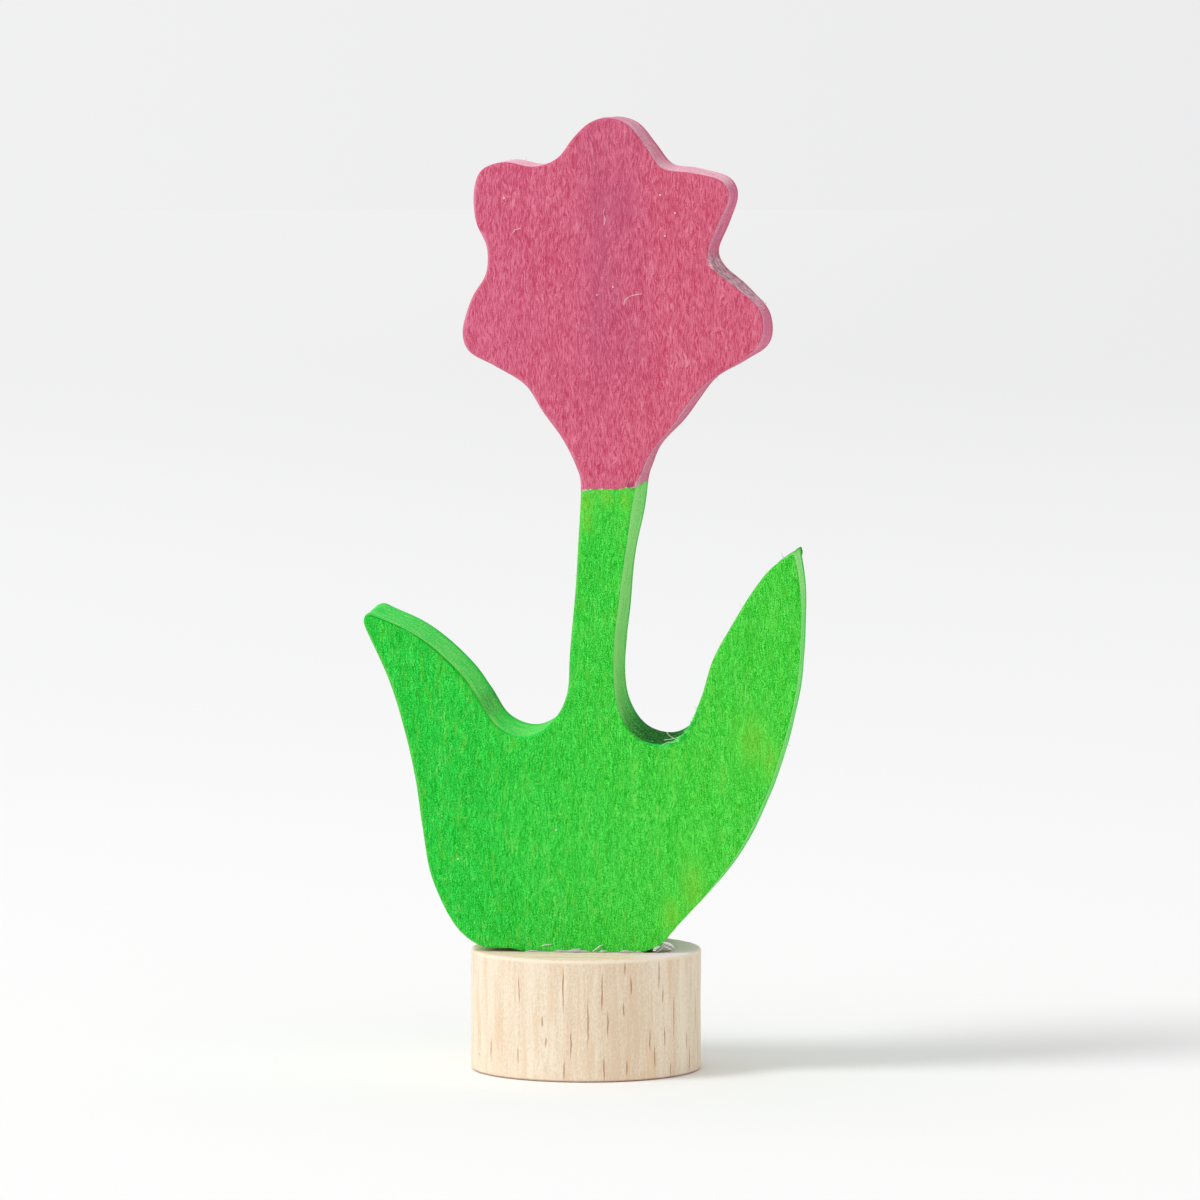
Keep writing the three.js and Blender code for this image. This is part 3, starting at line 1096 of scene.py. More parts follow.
@dataclass
class FlowerBoard:
    """The sawn board: blossom, stem and two leaves in one piece.

    A spot is given by its place across and up, its reach and its amount.
    """

    front: float = -4.0
    back: float = 8.0
    foot_height: float = 10.75
    stem_middle: float = 0.85
    stem_start: float = 26.0
    stem_length: float = 13.85
    stem_width: float = 3.8
    stem_flare: float = 0.85
    stem_lean: float = 1.4
    outline_points: int = 1440
    edge_rows: int = 34
    arris: float = 0.2
    arris_wear: float = 0.06
    arris_steps: int = 5
    softness: float = 0.22
    settle: float = 0.2
    stain_line: tuple[float, float] = (50.3, 50.9)
    leans: Spots = (
        (18.7, 37.0, 7.0, 0.36), (11.0, 15.5, 5.0, -0.24), (8.9, 57.4, 3.0, -0.27),
        (12.8, 61.0, 1.4, -0.12), (4.9, 48.6, 3.2, -0.34), (3.9, 38.8, 3.4, -0.26),
        (6.5, 28.8, 2.0, -0.08), (7.8, 78.4, 1.8, -0.2), (12.9, 76.3, 1.3, 0.16),
        (11.4, 72.0, 2.6, -0.18), (15.2, 66.6, 1.8, 0.25), (14.8, 62.4, 1.6, -0.32),
        (12.6, 77.9, 1.0, 0.14), (19.0, 44.4, 2.2, 0.15), (-19.0, 38.5, 1.1, -0.4),
    )
    # notch patches of stain soaked into end grain, and of painted shade on walls turned from the lamp
    stain_and_shade_pools: Spots = ((6.6, 28.6, 2.3, 1.2), (-7.8, 32.1, 1.1, 0.85), (4.9, 30.5, 1.6, 0.75))
    hollows: Spots = ((7.9, 28.4, 2.6, 1.0), (-4.9, 29.8, 2.2, 0.8))
    scars: Spots = (
        (11.6, 69.7, 1.1, 0.95), (12.9, 68.6, 1.2, 0.7), (14.1, 67.3, 1.5, 0.5),
        (12.0, 74.0, 2.6, 0.15), (7.5, 57.0, 5.0, 0.2), (4.5, 42.0, 7.0, 0.15),
    )
    # painted sheen and highlight on the sawn edge at listed places
    sheen_spots: Spots = (
        (4.0, 43.5, 8.5, 0.4), (4.0, 35.5, 3.0, 0.25), (-11.9, 36.6, 2.3, 0.15),
        (-8.6, 77.9, 2.2, 0.3), (-4.6, 29.6, 1.6, 0.15), (18.9, 45.0, 4.0, 0.35),
    )
    outline: np.ndarray = field(init=False, repr=False)
    normals: np.ndarray = field(init=False, repr=False)

    def __post_init__(self) -> None:
        """Works out the outline and its normals."""
        loop = evenly_spaced(self._anchored_outline(), self.outline_points)
        start = int(np.argmin((loop[:, 0] + 1.5) ** 2 + (loop[:, 1] - self.foot_height) ** 2))
        loop = np.roll(loop, -start, axis=0)
        spacing = np.linalg.norm(loop[1] - loop[0])
        self.outline = loop_blur(loop, self.softness / spacing)
        ahead = np.roll(self.outline, -1, axis=0) - np.roll(self.outline, 1, axis=0)
        ahead = ahead / np.linalg.norm(ahead, axis=1, keepdims=True)
        self.normals = np.column_stack([-ahead[:, 1], ahead[:, 0]])

    def _anchored_outline(self) -> np.ndarray:
        """Dense outline, clockwise seen from the front: up the left, down the right."""
        stem_end = self.stem_start + self.stem_length
        leaf = (0.0, self.stem_width, 0.0)
        petal = (self.stem_lean, self.stem_width + self.stem_flare, stem_end)

        def placed(side: int, anchors: tuple, middle: float, width: float, height: float) -> np.ndarray:
            """Anchors at their place beside a middle part of that width, above a height."""
            out, up = np.array(anchors, float).T
            return np.column_stack([middle + side * (width / 2 + out), height + up])

        def flank(side: int) -> np.ndarray:
            """Stem flank: its lean grows evenly, its half width with the height squared."""
            share = np.linspace(0.0, 1.0, 4)
            half = (self.stem_width + self.stem_flare * share**2) / 2
            up = self.stem_start + self.stem_length * share
            return np.column_stack([self.stem_lean * share + side * half, up])

        over = np.vstack([
            placed(-1, LEFT_LEAF, *leaf),
            flank(-1),
            placed(-1, LEFT_PETALS, *petal),
            placed(1, RIGHT_PETALS, *petal)[::-1],
            flank(1)[::-1],
            placed(1, RIGHT_LEAF_INSIDE, *leaf),
        ])
        down = np.vstack([over[-1:], placed(1, RIGHT_LEAF_OUTSIDE, *leaf)])
        loop = np.vstack([curve_through(over, 24), curve_through(down, 24)[1:]])
        return loop + [self.stem_middle, self.foot_height]

    def _near(self, spots: Spots) -> np.ndarray:
        """Sum of bell-shaped spots (x, z, reach, amount) along the outline."""
        total = np.zeros(len(self.outline))
        for x, z, reach, amount in spots:
            far = ((self.outline - [x, z]) ** 2).sum(1) / reach**2
            total += amount * np.exp(-far)
        return total

    def build(self, joint: PinJoint) -> bpy.types.Object:
        """The board as rings of its outline, one behind another.

        Args:
            joint: The bore for the dowel pin.

        Returns:
            The board's piece.
        """
        left, right = (eased(side * self.normals[:, 0], 0.2, 0.8) for side in (-1.0, 1.0))
        hollow = np.clip(self._near(self.hollows), 0.0, 1.0)
        depth, inset, sawn, rounding = self._profile(self.arris_wear * (left - right + hollow))
        x, z = np.moveaxis(self.outline - inset[..., None] * self.normals, -1, 0)
        low = eased(z, self.foot_height + 1.6, self.foot_height)
        z = z - self.settle * low * eased(x, -6.2, -5.1)
        shell = closed_rings(np.stack([x, depth, z], axis=-1))
        LOG.info("board volume %.0f mm3", shell.volume())
        piece = shell.piece("flower_board_sawn")
        for name, values in self._values(depth, sawn, rounding, left, right, hollow).items():
            set_values(piece, name, values)
        joint.bore(piece)
        return piece

    def _profile(self, wear: np.ndarray) -> tuple[np.ndarray, ...]:
        """Depth and inset of every ring, and which rings are sawn and which rounded.

        A ring is the outline moved inwards by its inset. On the rounded arrises
        the inset and the depth follow a quarter circle, whose radius is held
        under the room inside the outline. On the sawn edge the inset follows the
        saw's lean and its marks, which are long along the outline.

        Args:
            wear: What the arris is larger by, for each point of the outline.

        Returns:
            Depth and inset, with one row per ring, then sawn and rounded as shares.
        """
        count, steps = self.outline_points, self.arris_steps
        thickness = self.back - self.front
        room = room_inside(self.outline, self.normals)
        room = np.minimum.reduce([np.roll(room, k) for k in range(-3, 4)])
        lean = self._near(self.leans)
        clear = np.array([[0.7], [0.85]]) * room
        room = np.maximum(room - 1.5 * np.maximum(lean, 0.0), 0.02)
        worn = (self.arris + wear) * (1.0 + 0.15 * even_noise(3, (count,), (14.0,)))
        radius = loop_blur(np.minimum(worn, 0.7 * room), 3.0)
        support = np.minimum(radius + 0.3, np.maximum(0.85 * room, radius * 1.1))[None]
        turn = np.linspace(0.0, math.pi / 2, steps + 1)[:, None]
        curve_in, curve_deep = radius * (1.0 - np.sin(turn)), radius * (1.0 - np.cos(turn))
        share = (np.arange(1, self.edge_rows) / self.edge_rows)[:, None]
        wall = self.front + radius + share * (thickness - 2.0 * radius)
        front, back = (np.full((1, count), face) for face in (self.front, self.back))
        depth = np.vstack([front, front + curve_deep, wall, (back - curve_deep)[::-1], back])
        inset = np.vstack([support, curve_in, np.zeros_like(wall), curve_in[::-1], support])
        rows = len(depth)
        sawn, rounding = np.zeros((2, rows))
        sawn[steps + 1 : rows - steps - 1] = 1.0
        rounding[2 : steps + 1] = rounding[rows - steps - 1 : rows - 2] = 1.0
        marks = 0.03 * even_noise(11, (rows, count), (1.6, 22.0))
        marks = marks + 0.012 * even_noise(12, (rows, count), (0.7, 5.0))
        deep_share = (depth - self.front) / thickness
        inset = inset + lean * deep_share - marks * (sawn + 0.5 * rounding)[:, None]
        inset[-2:] = np.minimum(inset[-2:], clear)
        return depth, inset, sawn, rounding

    def _values(
        self,
        depth: np.ndarray,
        sawn: np.ndarray,
        rounding: np.ndarray,
        left: np.ndarray,
        right: np.ndarray,
        hollow: np.ndarray,
    ) -> dict[str, np.ndarray]:
        """What the finish reads at each of the board's points.

        Args:
            depth: Depth of each point, with one row per ring.
            sawn: 1 for the rings of the sawn edge.
            rounding: 1 for the rings of the arrises.
            left: Share to which the outline looks to the left.
            right: Share to which the outline looks to the right.
            hollow: Share of the notches' hollows along the outline.

        Returns:
            The values under the names that the finish uses.
        """
        sawn, rounding = (np.broadcast_to(share[:, None], depth.shape) for share in (sawn, rounding))
        step = np.linalg.norm(self.outline[1] - self.outline[0])
        run = np.broadcast_to(np.arange(self.outline_points) * step, depth.shape)
        blossom = eased(self.outline[:, 1], *self.stain_line)
        upward = eased(self.normals[:, 1], 0.3, 0.8)
        rising = upward * eased(self.normals[:, 0], 0.0, 0.3)
        # painted sheen and top light: blossom walls paler as they face up, stem and leaf walls paler as they
        # face aside
        plain = blossom * (0.05 + 0.7 * upward) + (1.0 - blossom) * (0.45 - 0.35 * upward)
        # painted sheen near the front of walls that look right; deeper colour towards their back
        sheen_strip = 0.3 * eased(depth, 0.0, -3.4) - 0.4 * eased(depth, 4.5, 7.6)
        # painted shade on the back arris of walls that look right or into the notches
        back_shade = 0.8 * np.maximum(right, 0.7 * hollow) * eased(depth, 6.2, 7.7)
        values = {
            "sawn": sawn,
            # painted highlight: rounded arrises that look left and catch the lamp
            "arris": 0.4 * rounding * left * (1.0 - upward) * (1.0 - hollow),
            "dark_arris_and_shade": np.maximum(rounding * rising * (1.0 - hollow) * (1.0 - blossom), back_shade),
            # painted sheen and top light on the sawn edge
            "painted_sheen": np.clip(plain + self._near(self.sheen_spots) + right * sheen_strip, 0.0, 1.0),
            # painted highlight: share of the rounded front rims in the notches
            "notch_highlight_share": rounding * hollow,
            # stain soaked into the notches, and painted shade
            "pooled_stain_and_shade": np.clip(self._near(self.stain_and_shade_pools), 0.0, 1.0) * sawn,
            "scarred": np.clip(self._near(self.scars) + 0.12, 0.0, 1.0) * sawn,
        }
        values = {name: value.ravel() for name, value in values.items()}
        values["run"] = np.stack([run, depth, np.zeros_like(depth)], axis=-1).reshape(-1, 3)
        return values


@dataclass
class LiftedFibres:
    """Short fibres that stand up from the sawn edge, lint and dust on the front.

    A tuft is given by its place across and up, its spread and its strands.
    """

    board: FlowerBoard
    strand_count: int = 200
    reach: tuple[float, float] = (0.12, 0.4)
    thickness: float = 0.022
    nap_thickness: float = 0.03
    speck: tuple[float, ...] = (0.02, 0.055, 0.07, 0.055, 0.02)
    speck_length: float = 0.16
    tufts: tuple[Tuft, ...] = (
        (6.1, 80.5, 0.35, 22), (15.9, 66.4, 0.35, 16), (9.05, 57.0, 0.6, 14), (4.3, 41.7, 0.5, 14),
        (4.0, 37.3, 0.9, 18), (9.9, 71.0, 0.4, 8), (9.6, 31.4, 0.7, 16),
    )
    nap: Tuft = (9.0, 29.3, 1.25, 200)
    frayed: Tuft = (11.3, 70.1, 0.3, 26)
    hairs: tuple[tuple[tuple[float, float], ...], ...] = (
        ((7.26, 29.75), (7.5, 29.4), (7.9, 29.15), (8.4, 28.9)),
        ((7.1, 28.95), (7.7, 29.05), (8.3, 29.2), (8.9, 29.5)),
        ((6.9, 28.5), (7.4, 28.75), (8.0, 28.8), (8.5, 29.0)),
        ((3.6, 66.3), (3.75, 66.8), (4.25, 67.15), (5.2, 67.35)),
        ((1.9, 73.2), (2.0, 73.7), (1.85, 74.2), (1.95, 74.6)),
        ((-5.95, 72.5), (-5.8, 72.75), (-5.55, 72.85), (-5.25, 72.95)),
    )
    dust: tuple[tuple[float, float], ...] = (
        (-6.7, 75.51), (1.31, 67.22), (2.68, 67.91), (6.72, 75.8), (8.01, 74.26),
        (7.15, 72.29), (-12.12, 22.23), (-2.24, 21.1), (-10.74, 18.51), (15.79, 30.24),
    )

    def build(self) -> bpy.types.Object:
        """All fibres, hairs and specks as one piece."""
        nap, frayed = self._nap(self.nap, 23, 0.42), self._nap(self.frayed, 24, 0.12)
        lint = frayed.joined(self._hairs()).joined(self._dust())
        piece = nap.joined(lint).joined(self._edge_fibres()).piece("raised_fibres")
        number = np.arange(len(piece.data.vertices))
        # the nap's strands take the painted highlight of the notches' lit rims
        notch_highlight_share = number < len(nap.points)
        bright = ~notch_highlight_share & (number < len(nap.points) + len(lint.points))
        for name, value in (("notch_highlight_share", notch_highlight_share), ("bright", bright)):
            set_values(piece, name, value.astype(float))
        return piece

    def _along(self, rng: np.random.Generator, x: float, z: float, spread: float, count: int) -> np.ndarray:
        """Outline points scattered by a bell curve about the one nearest to a place.

        Args:
            rng: Source of the random numbers.
            x: The place across.
            z: The place's height.
            spread: Width of the bell curve along the outline.
            count: How many points.

        Returns:
            The points' numbers.
        """
        loop = self.board.outline
        step = np.linalg.norm(loop[1] - loop[0])
        nearest = np.argmin(((loop - [x, z]) ** 2).sum(1))
        return (nearest + np.round(rng.normal(0.0, spread / step, count)).astype(int)) % len(loop)

    def _nap(self, tuft: Tuft, seed: int, inset: float) -> Shell:
        """Nap combed over the front arris at one place.

        Each strand lies on the arris at its own slant to the outline and bows
        forward by a few hundredths.

        Args:
            tuft: The place, the spread and the number of strands.
            seed: Start of the random numbers.
            inset: How far in from the outline the strands may start.

        Returns:
            The nap's shell.
        """
        rng = np.random.default_rng(seed)
        spot = self._along(rng, *tuft)
        count = len(spot)
        normal = np.insert(self.board.normals[spot], 1, 0.0, axis=1)
        start = np.insert(self.board.outline[spot], 1, self.board.front, axis=1)
        start -= rng.uniform(0.0, inset, (count, 1)) * normal
        slant = rng.normal(0.9, 0.6, (count, 1))
        ahead = np.column_stack([normal[:, 2], np.zeros(count), -normal[:, 0]])
        direction = np.cos(slant) * ahead + 0.8 * np.sin(slant) * normal
        length = rng.uniform(0.15, 0.5, (count, 1, 1))
        t = np.linspace(0.0, 1.0, 5)[None, :, None]
        bow = np.array([0.0, -0.06, 0.0]) * np.sin(math.pi * t)
        path = start[:, None] + length * direction[:, None] * t + bow
        return strands(path, self.nap_thickness * rng.uniform(0.6, 1.2, (count, 1)) * (1.05 - t[:, :, 0]))

    def _edge_fibres(self) -> Shell:
        """Bent strands at random places of the edge.

        A strand starts just inside the edge and runs along the grain, leaning
        away from the wood: start + length (direction t + bend t squared).

        Returns:
            The strands' shell.
        """
        rng = np.random.default_rng(21)
        spot = rng.integers(0, self.board.outline_points, self.strand_count)
        spot = np.concatenate([spot, *(self._along(rng, *tuft) for tuft in self.tufts)])
        count = len(spot)
        normal = np.insert(self.board.normals[spot], 1, 0.0, axis=1)
        start = np.insert(self.board.outline[spot], 1, 0.0, axis=1)
        start[:, 1] = rng.uniform(self.board.front + 0.3, self.board.back - 0.3, count)
        start -= 0.06 * normal
        upward = rng.choice([-1.0, 1.0], count)[:, None] * [[0.0, 0.0, 1.0]]
        direction = normal * rng.uniform(0.3, 1.0, (count, 1)) + 0.8 * upward
        direction += rng.normal(0.0, 0.25, (count, 3))
        bend = normal * rng.uniform(-0.2, 0.5, (count, 1)) + rng.normal(0.0, 0.2, (count, 3))
        tuft = (np.arange(count) >= self.strand_count)[:, None]
        length = (rng.uniform(*self.reach, (count, 1)) * np.where(tuft, 0.55, 1.0))[:, :, None]
        t = np.linspace(0.0, 1.0, 5)[None, :, None]
        path = start[:, None] + length * (direction[:, None] * t + bend[:, None] * t**2)
        thin = self.thickness * rng.uniform(0.6, 1.2, (count, 1)) * np.where(tuft, 1.8, 1.0)
        thin = thin * (1.05 - t[:, :, 0])
        low, high = (np.array(corner) / MM for corner in CAD_BOX)
        inside = ((path > low + 0.03) & (path < high - 0.03)).all(axis=(1, 2))
        kept = inside & (start[:, 2] > self.board.foot_height + 1.5)
        return strands(path[kept], thin[kept])

    def _hairs(self) -> Shell:
        """Lint that lies on the front, each a smooth curve through its points."""
        path = np.stack([curve_through(np.array(hair), 6) for hair in self.hairs])
        path = np.insert(path, 1, self.board.front - 0.02, axis=2)
        thin = np.full(path.shape[:2], 0.024)
        thin[:, [0, -1]] = 0.008
        return strands(path, thin)

    def _dust(self) -> Shell:
        """Specks on the front, each a short thick strand that is drawn in at its ends."""
        rng = np.random.default_rng(5)
        middle = np.insert(np.array(self.dust), 1, self.board.front - 0.01, axis=1)
        lean = np.column_stack([rng.normal(0, 0.4, len(middle)), np.zeros(len(middle)), np.ones(len(middle))])
        t = np.linspace(-0.5, 0.5, 5)[None, :, None]
        path = middle[:, None] + self.speck_length * lean[:, None] * t
        thin = np.array(self.speck) * rng.uniform(0.7, 1.2, (len(middle), 1))
        return strands(path, thin, sides=6)


@dataclass
class BeechPlug:
    """The turned plug: an upright round with softly rounded rims."""

    radius: float = 9.985
    height: float = 10.5
    top_rim: float = 0.3
    bottom_rim: float = 0.25
    columns: int = 360
    side_rows: int = 28
    rim_steps: int = 6

    def build(self, joint: PinJoint) -> bpy.types.Object:
        """The plug as rings from its underside to its top.

        The profile is a quarter circle at each rim with a straight side between,
        and the side waves by a few hundredths round the plug.

        Args:
            joint: The bore for the dowel pin.

        Returns:
            The plug's piece.
        """
        turn = np.linspace(0.0, math.pi / 2, self.rim_steps + 1)
        share = np.arange(1, self.side_rows) / self.side_rows
        straight = self.bottom_rim + share * (self.height - self.bottom_rim - self.top_rim)
        out = np.concatenate([
            [self.radius - self.bottom_rim - 0.4],
            self.radius - self.bottom_rim * (1.0 - np.sin(turn)),
            np.full(self.side_rows - 1, self.radius),
            self.radius - self.top_rim * (1.0 - np.cos(turn)),
            [self.radius - self.top_rim - 0.4],
        ])
        up = np.concatenate([
            [0.0],
            self.bottom_rim * (1.0 - np.cos(turn)),
            straight,
            self.height - self.top_rim * (1.0 - np.sin(turn)),
            [self.height],
        ])
        wave = 0.012 * even_noise(31, (len(out), self.columns), (3.0, 16.0))
        wide = out[:, None] + np.minimum(wave, 0.014) * eased(out[:, None], self.radius - 0.5, self.radius)
        angle = 2 * math.pi * np.arange(self.columns) / self.columns
        up = np.broadcast_to(up[:, None], wide.shape)
        shell = closed_rings(np.stack([wide * np.cos(angle), wide * np.sin(angle), up], axis=-1))
        LOG.info("plug volume %.0f mm3", shell.volume())
        piece = shell.piece("base_plug_turned")
        joint.bore(piece)
        return piece


@dataclass
class GlueSeam:
    """Clear glue: a film under the foot, a thin line along its front and a bead at its end.

    A string is given by its thickness and the points that it runs through.
    """

    plug_top: float = 10.5
    film: float = 0.055
    start: float = -5.2
    end: float = 5.6
    front: float = -4.0
    back: float = 7.6
    line_depth: float = -3.86
    bead_middle: tuple[float, float] = (6.15, 1.0)
    bead_reach: tuple[float, float] = (0.6, 4.2)
    bead_lean: float = 0.1
    strings: tuple[tuple[float, tuple[Triple, ...]], ...] = (
        (0.19, ((6.92, -3.75, 11.42), (7.2, -3.1, 11.24), (7.52, -2.3, 10.96), (7.82, -1.7, 10.66))),
        (0.09, ((7.02, -3.5, 11.08), (7.22, -3.1, 10.92), (7.45, -2.7, 10.76), (7.68, -2.4, 10.6))),
        (0.14, ((6.16, -3.95, 10.72), (6.34, -4.0, 10.88), (6.54, -3.95, 11.0), (6.74, -3.85, 11.12))),
        (0.05, ((-3.6, -4.03, 11.0), (-3.2, -4.05, 11.12), (-2.9, -4.05, 11.16), (-2.6, -4.02, 11.2))),
        (0.07, ((0.9, -4.12, 10.58), (1.2, -4.1, 10.8), (1.5, -4.06, 11.02), (1.8, -4.03, 11.2))),
        (0.06, ((-0.6, -4.08, 10.6), (-0.45, -4.07, 10.7), (-0.3, -4.06, 10.78), (-0.1, -4.03, 10.86))),
    )

    def build(self, joint: PinJoint) -> tuple[bpy.types.Object, bpy.types.Object]:
        """The film and what was squeezed out of the joint.

        Args:
            joint: The bore for the dowel pin.

        Returns:
            The film's piece and the squeezed glue's piece.
        """
        film = self._film().piece("glue_film")
        joint.bore(film)
        squeezed = self._front_line().joined(self._bead()).joined(self._strings()).piece("glue_bead")
        return film, squeezed

    def _film(self) -> Shell:
        """A thin sheet whose edge is a rounded rectangle that waves a little.

        The rectangle is |x| to the power 6 plus |y| to the power 6 equal to 1,
        and the sheet's edge bulges as a half circle between plug and foot.

        Returns:
            The film's shell.
        """
        count = 240
        angle = 2 * math.pi * np.arange(count) / count
        unit = (np.abs(np.cos(angle)) ** 6 + np.abs(np.sin(angle)) ** 6) ** (-1 / 6)
        low, high = np.array([self.start, self.front + 0.5]), np.array([self.end, self.back])
        half, middle = (high - low) / 2, (high + low) / 2
        wave = 1.0 + 0.012 * even_noise(41, (count,), (5.0,))
        rim = np.stack([unit * np.cos(angle), unit * np.sin(angle)], axis=1) * half * wave[:, None]
        turn = np.linspace(-math.pi / 2, math.pi / 2, 7)
        shrink = 1.0 - 0.01 * (1.0 - np.cos(turn))
        up = self.plug_top + 0.002 + (self.film - 0.004) * (1.0 + np.sin(turn)) / 2
        flat = middle + shrink[:, None, None] * rim[None]
        rings = np.concatenate([flat, np.broadcast_to(up[:, None, None], (7, count, 1))], axis=2)
        return closed_rings(rings)

    def _front_line(self) -> Shell:
        """A thin line of glue in the corner between the plug's top and the foot's front.

        At each station along X the section is a small lens, whose size swells
        and fades with seeded noise.

        Returns:
            The line's shell.
        """
        stations = 160
        x = np.linspace(self.start + 0.2, self.end - 0.3, stations)
        swell = np.clip(0.5 + 0.55 * even_noise(43, (stations,), (4.0,)), 0.08, 1.6)
        faded = eased(x, self.start + 0.2, self.start + 1.0) * eased(x, self.end - 0.3, self.end - 1.0)
        swell = (swell * faded + 0.02)[:, None]
        angle = 2 * math.pi * np.arange(10) / 10
        across = self.line_depth - 0.16 * swell + (0.1 + 0.12 * swell) * np.cos(angle)
        up = self.plug_top + 0.03 + 0.09 * swell + (0.04 + 0.1 * swell) * np.sin(angle)
        up = np.maximum(up, self.plug_top + 0.003)
        rings = np.stack([np.broadcast_to(x[:, None], across.shape), across, up], axis=-1)
        return closed_rings(rings)

    def _bead(self) -> Shell:
        """The bead under the rising flank, at the foot's right end.

        Rings go from the plug's top to the crown. Their outline is an oval that
        waves, drawn in as the square root of 1 - t squared, and their middle leans
        towards the board.

        Returns:
            The bead's shell.
        """
        count, rows = 96, 22
        angle = 2 * math.pi * np.arange(count) / count
        t = np.linspace(0.0, 0.985, rows)[:, None]
        lumps = 1.0 + 0.13 * even_noise(47, (rows, count), (3.0, 5.0))
        lumps = lumps + 0.05 * even_noise(48, (rows, count), (1.5, 2.2))
        drawn = np.sqrt(1.0 - t**2) * lumps
        x = self.bead_middle[0] - self.bead_lean * t + self.bead_reach[0] * drawn * np.cos(angle)
        y = self.bead_middle[1] + self.bead_reach[1] * drawn * np.sin(angle)
        ridge = 0.38 + 0.1 * np.sin(y * 1.7 + 0.6)
        up = self.plug_top + 0.004 + ridge * t
        rings = np.stack([x, y, np.broadcast_to(up, x.shape)], axis=-1)
        return closed_rings(rings)

    def _strings(self) -> Shell:
        """Drawn-out strings of glue from the bead to the board, and smears on the foot's front."""
        path = np.stack([curve_through(np.array(points), 6) for _, points in self.strings])
        thick = np.array([[size] for size, _ in self.strings])
        t = np.linspace(0.0, 1.0, path.shape[1])
        return strands(path, thick * (0.35 + 0.65 * np.sin(math.pi * t)), sides=8)


# Stage, light and camera


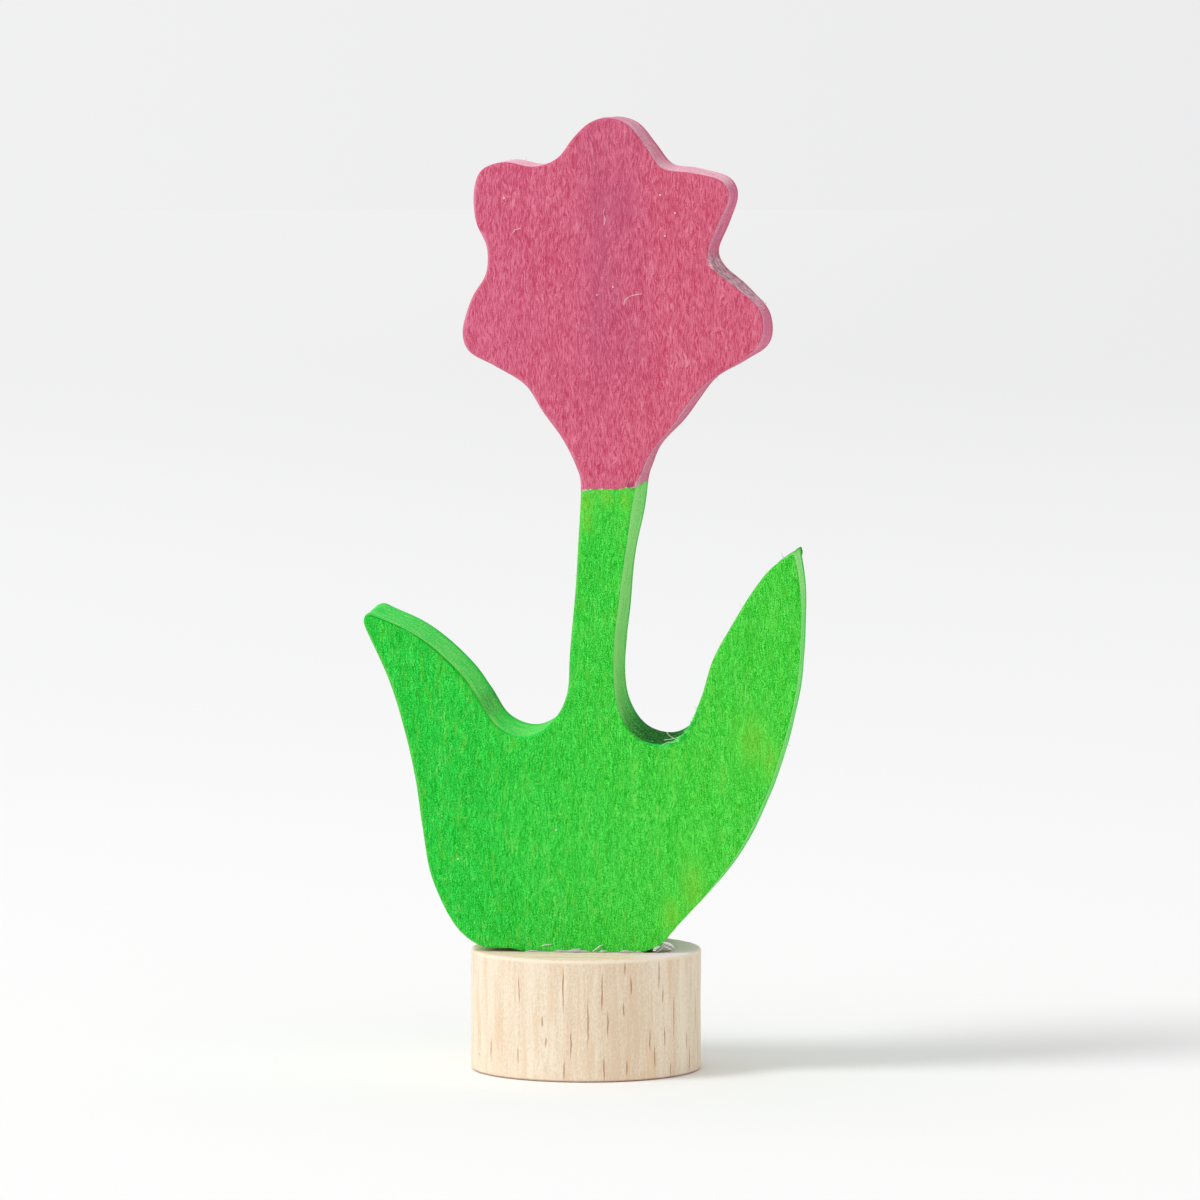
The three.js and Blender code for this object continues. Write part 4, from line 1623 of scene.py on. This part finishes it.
@dataclass
class Studio:
    """Pale floor and backdrop, one soft key lamp from the left and an even sky."""

    floor_tone: Tone = Tone(250, 250, 250)
    near_tone: Tone = Tone(252, 252, 252)
    far_tone: Tone = Tone(241, 241, 242)
    dim: float = 0.955
    sky: float = 0.74
    sky_lean: float = 0.22
    key_power: float = 12.3
    key_size: float = 0.65
    key_distance: float = 1.8
    key_turn: float = 26.0
    key_height: float = 52.0
    floor_reach: float = 3.0

    def build(self) -> None:
        """Sets up floor, world and lamp."""
        self._floor()
        self._world()
        self._key()

    def _floor(self) -> None:
        """A round floor, which fades into the backdrop's colour far away and is see-through from below."""
        rings, sides = 24, 96
        radii = np.geomspace(0.02, self.floor_reach, rings)[:, None] / MM
        angle = 2 * math.pi * np.arange(sides) / sides
        level = np.full((rings, sides), -0.02)
        points = np.stack([radii * np.cos(angle), radii * np.sin(angle), level], axis=-1)
        index = np.arange(rings * sides).reshape(rings, sides)
        beside = np.roll(index, -1, axis=1)
        quads = np.stack([index[:-1], index[1:], beside[1:], beside[:-1]], axis=-1).reshape(-1, 4)
        shell = Shell(
            points.reshape(-1, 3),
            np.concatenate([quads.ravel(), index[0]]),
            np.concatenate([np.full(len(quads), 4), [sides]]),
        )
        floor = shell.piece("floor")
        floor.data.materials.append(self._floor_material())

    def _floor_material(self) -> bpy.types.Material:
        """Matt pale paper: shaded near the figure, a plain colour far from it."""
        sheet, material = Sheet.of_material("pale paper")
        place = sheet.place()
        away = sheet.vector("LENGTH", place)
        near = sheet.named(sheet.add("ShaderNodeBsdfDiffuse"), Color=self.floor_tone)
        plain = sheet.named(
            sheet.add("ShaderNodeEmission"),
            Color=sheet.mix(sheet.ramp(away, 0.0, 1.5), self.near_tone, self.far_tone),
            Strength=sheet.ramp(sheet.split(place)[0], -0.3, 0.06, 1.0, self.dim),
        )
        paper = sheet.mix_shader(sheet.ramp(away, 0.1, 0.5), near.outputs[0], plain.outputs[0])
        under = sheet.add("ShaderNodeNewGeometry").outputs["Backfacing"]
        clear = sheet.add("ShaderNodeBsdfTransparent").outputs[0]
        sheet.finish(sheet.mix_shader(under, paper, clear))
        return material

    def _world(self) -> None:
        """Soft light from all round, stronger from the left; camera, gloss and glass see the backdrop."""
        world = bpy.data.worlds.new("studio")
        bpy.context.scene.world = world
        world.use_nodes = True
        world.node_tree.nodes.clear()
        sheet = Sheet(world.node_tree)
        rays = sheet.add("ShaderNodeLightPath").outputs
        seen = sheet.math("MAXIMUM", rays["Is Camera Ray"], rays["Is Glossy Ray"])
        seen = sheet.math("MAXIMUM", seen, rays["Is Transmission Ray"])
        across = sheet.split(sheet.add("ShaderNodeTexCoord").outputs["Generated"])[0]
        light = sheet.named(
            sheet.add("ShaderNodeBackground"),
            Color=(1.0, 1.0, 1.0, 1.0),
            Strength=sheet.math("MULTIPLY_ADD", across, -self.sky * self.sky_lean, self.sky),
        )
        backdrop = sheet.named(
            sheet.add("ShaderNodeBackground"),
            Color=self.far_tone,
            Strength=sheet.ramp(across, -0.2, 0.02, 1.0, self.dim),
        )
        lit = sheet.mix_shader(seen, light.outputs[0], backdrop.outputs[0])
        sheet.finish(lit, "ShaderNodeOutputWorld")

    def _key(self) -> None:
        """The key lamp, a round disk that looks at the figure's middle."""
        lamp = bpy.data.lights.new("key", "AREA")
        lamp.shape = "DISK"
        lamp.size = self.key_size
        lamp.energy = self.key_power
        key = bpy.data.objects.new("key", lamp)
        turn, rise = math.radians(self.key_turn), math.radians(self.key_height)
        target = np.array([0.0, 0.0, 0.04])
        level = math.cos(rise)
        toward = np.array([-math.cos(turn) * level, -math.sin(turn) * level, math.sin(rise)])
        key.location = target + self.key_distance * toward
        key.rotation_euler = (math.pi / 2 - rise, 0.0, -(math.pi / 2 - turn))
        bpy.context.scene.collection.objects.link(key)


@dataclass(frozen=True)
class Viewpoint:
    """Where the picture is taken from: right of the middle and a little above."""

    lens: float = 240.0
    sensor: float = 36.0
    place: Triple = (0.060347, -0.687405, 0.09159)
    down: float = 4.218
    turn: float = 4.916

    def build(self) -> None:
        """Sets up the camera and makes it the scene's own."""
        data = bpy.data.cameras.new("viewpoint")
        data.lens = self.lens
        data.sensor_width = self.sensor
        data.clip_start = 0.01
        data.clip_end = 20.0
        camera = bpy.data.objects.new("viewpoint", data)
        camera.location = self.place
        camera.rotation_euler = (math.radians(90.0 - self.down), 0.0, math.radians(self.turn))
        bpy.context.scene.collection.objects.link(camera)
        bpy.context.scene.camera = camera


def main() -> None:
    """Builds the figure from the plug up, then its stage."""
    logging.basicConfig(level=logging.INFO, format="%(name)s: %(message)s")
    bpy.context.scene.view_settings.view_transform = "Standard"
    effects = Effects()
    lime = StainedLime(effects).material()
    beech = Beech(effects).material()
    glue = ClearGlue().material()
    lifted = LiftedFibre().material()
    joint = PinJoint()
    publish(BeechPlug().build(joint), Slot.BEECH, beech, "base_plug")
    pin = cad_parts["dowel_pin"]
    for place in pin.material_slots:
        place.material = beech
    LOG.info("dowel_pin: kept from the frame, %s", Slot.BEECH.value)
    film, bead = GlueSeam().build(joint)
    publish(film, Slot.GLUE, glue, "glue_seam")
    publish(bead, Slot.GLUE, glue, "glue_seam")
    board = FlowerBoard()
    publish(board.build(joint), Slot.LIME, lime, "flower_board")
    publish(LiftedFibres(board).build(), Slot.LIME, lifted)
    Studio().build()
    Viewpoint().build()


if __name__ == "__main__":
    main()
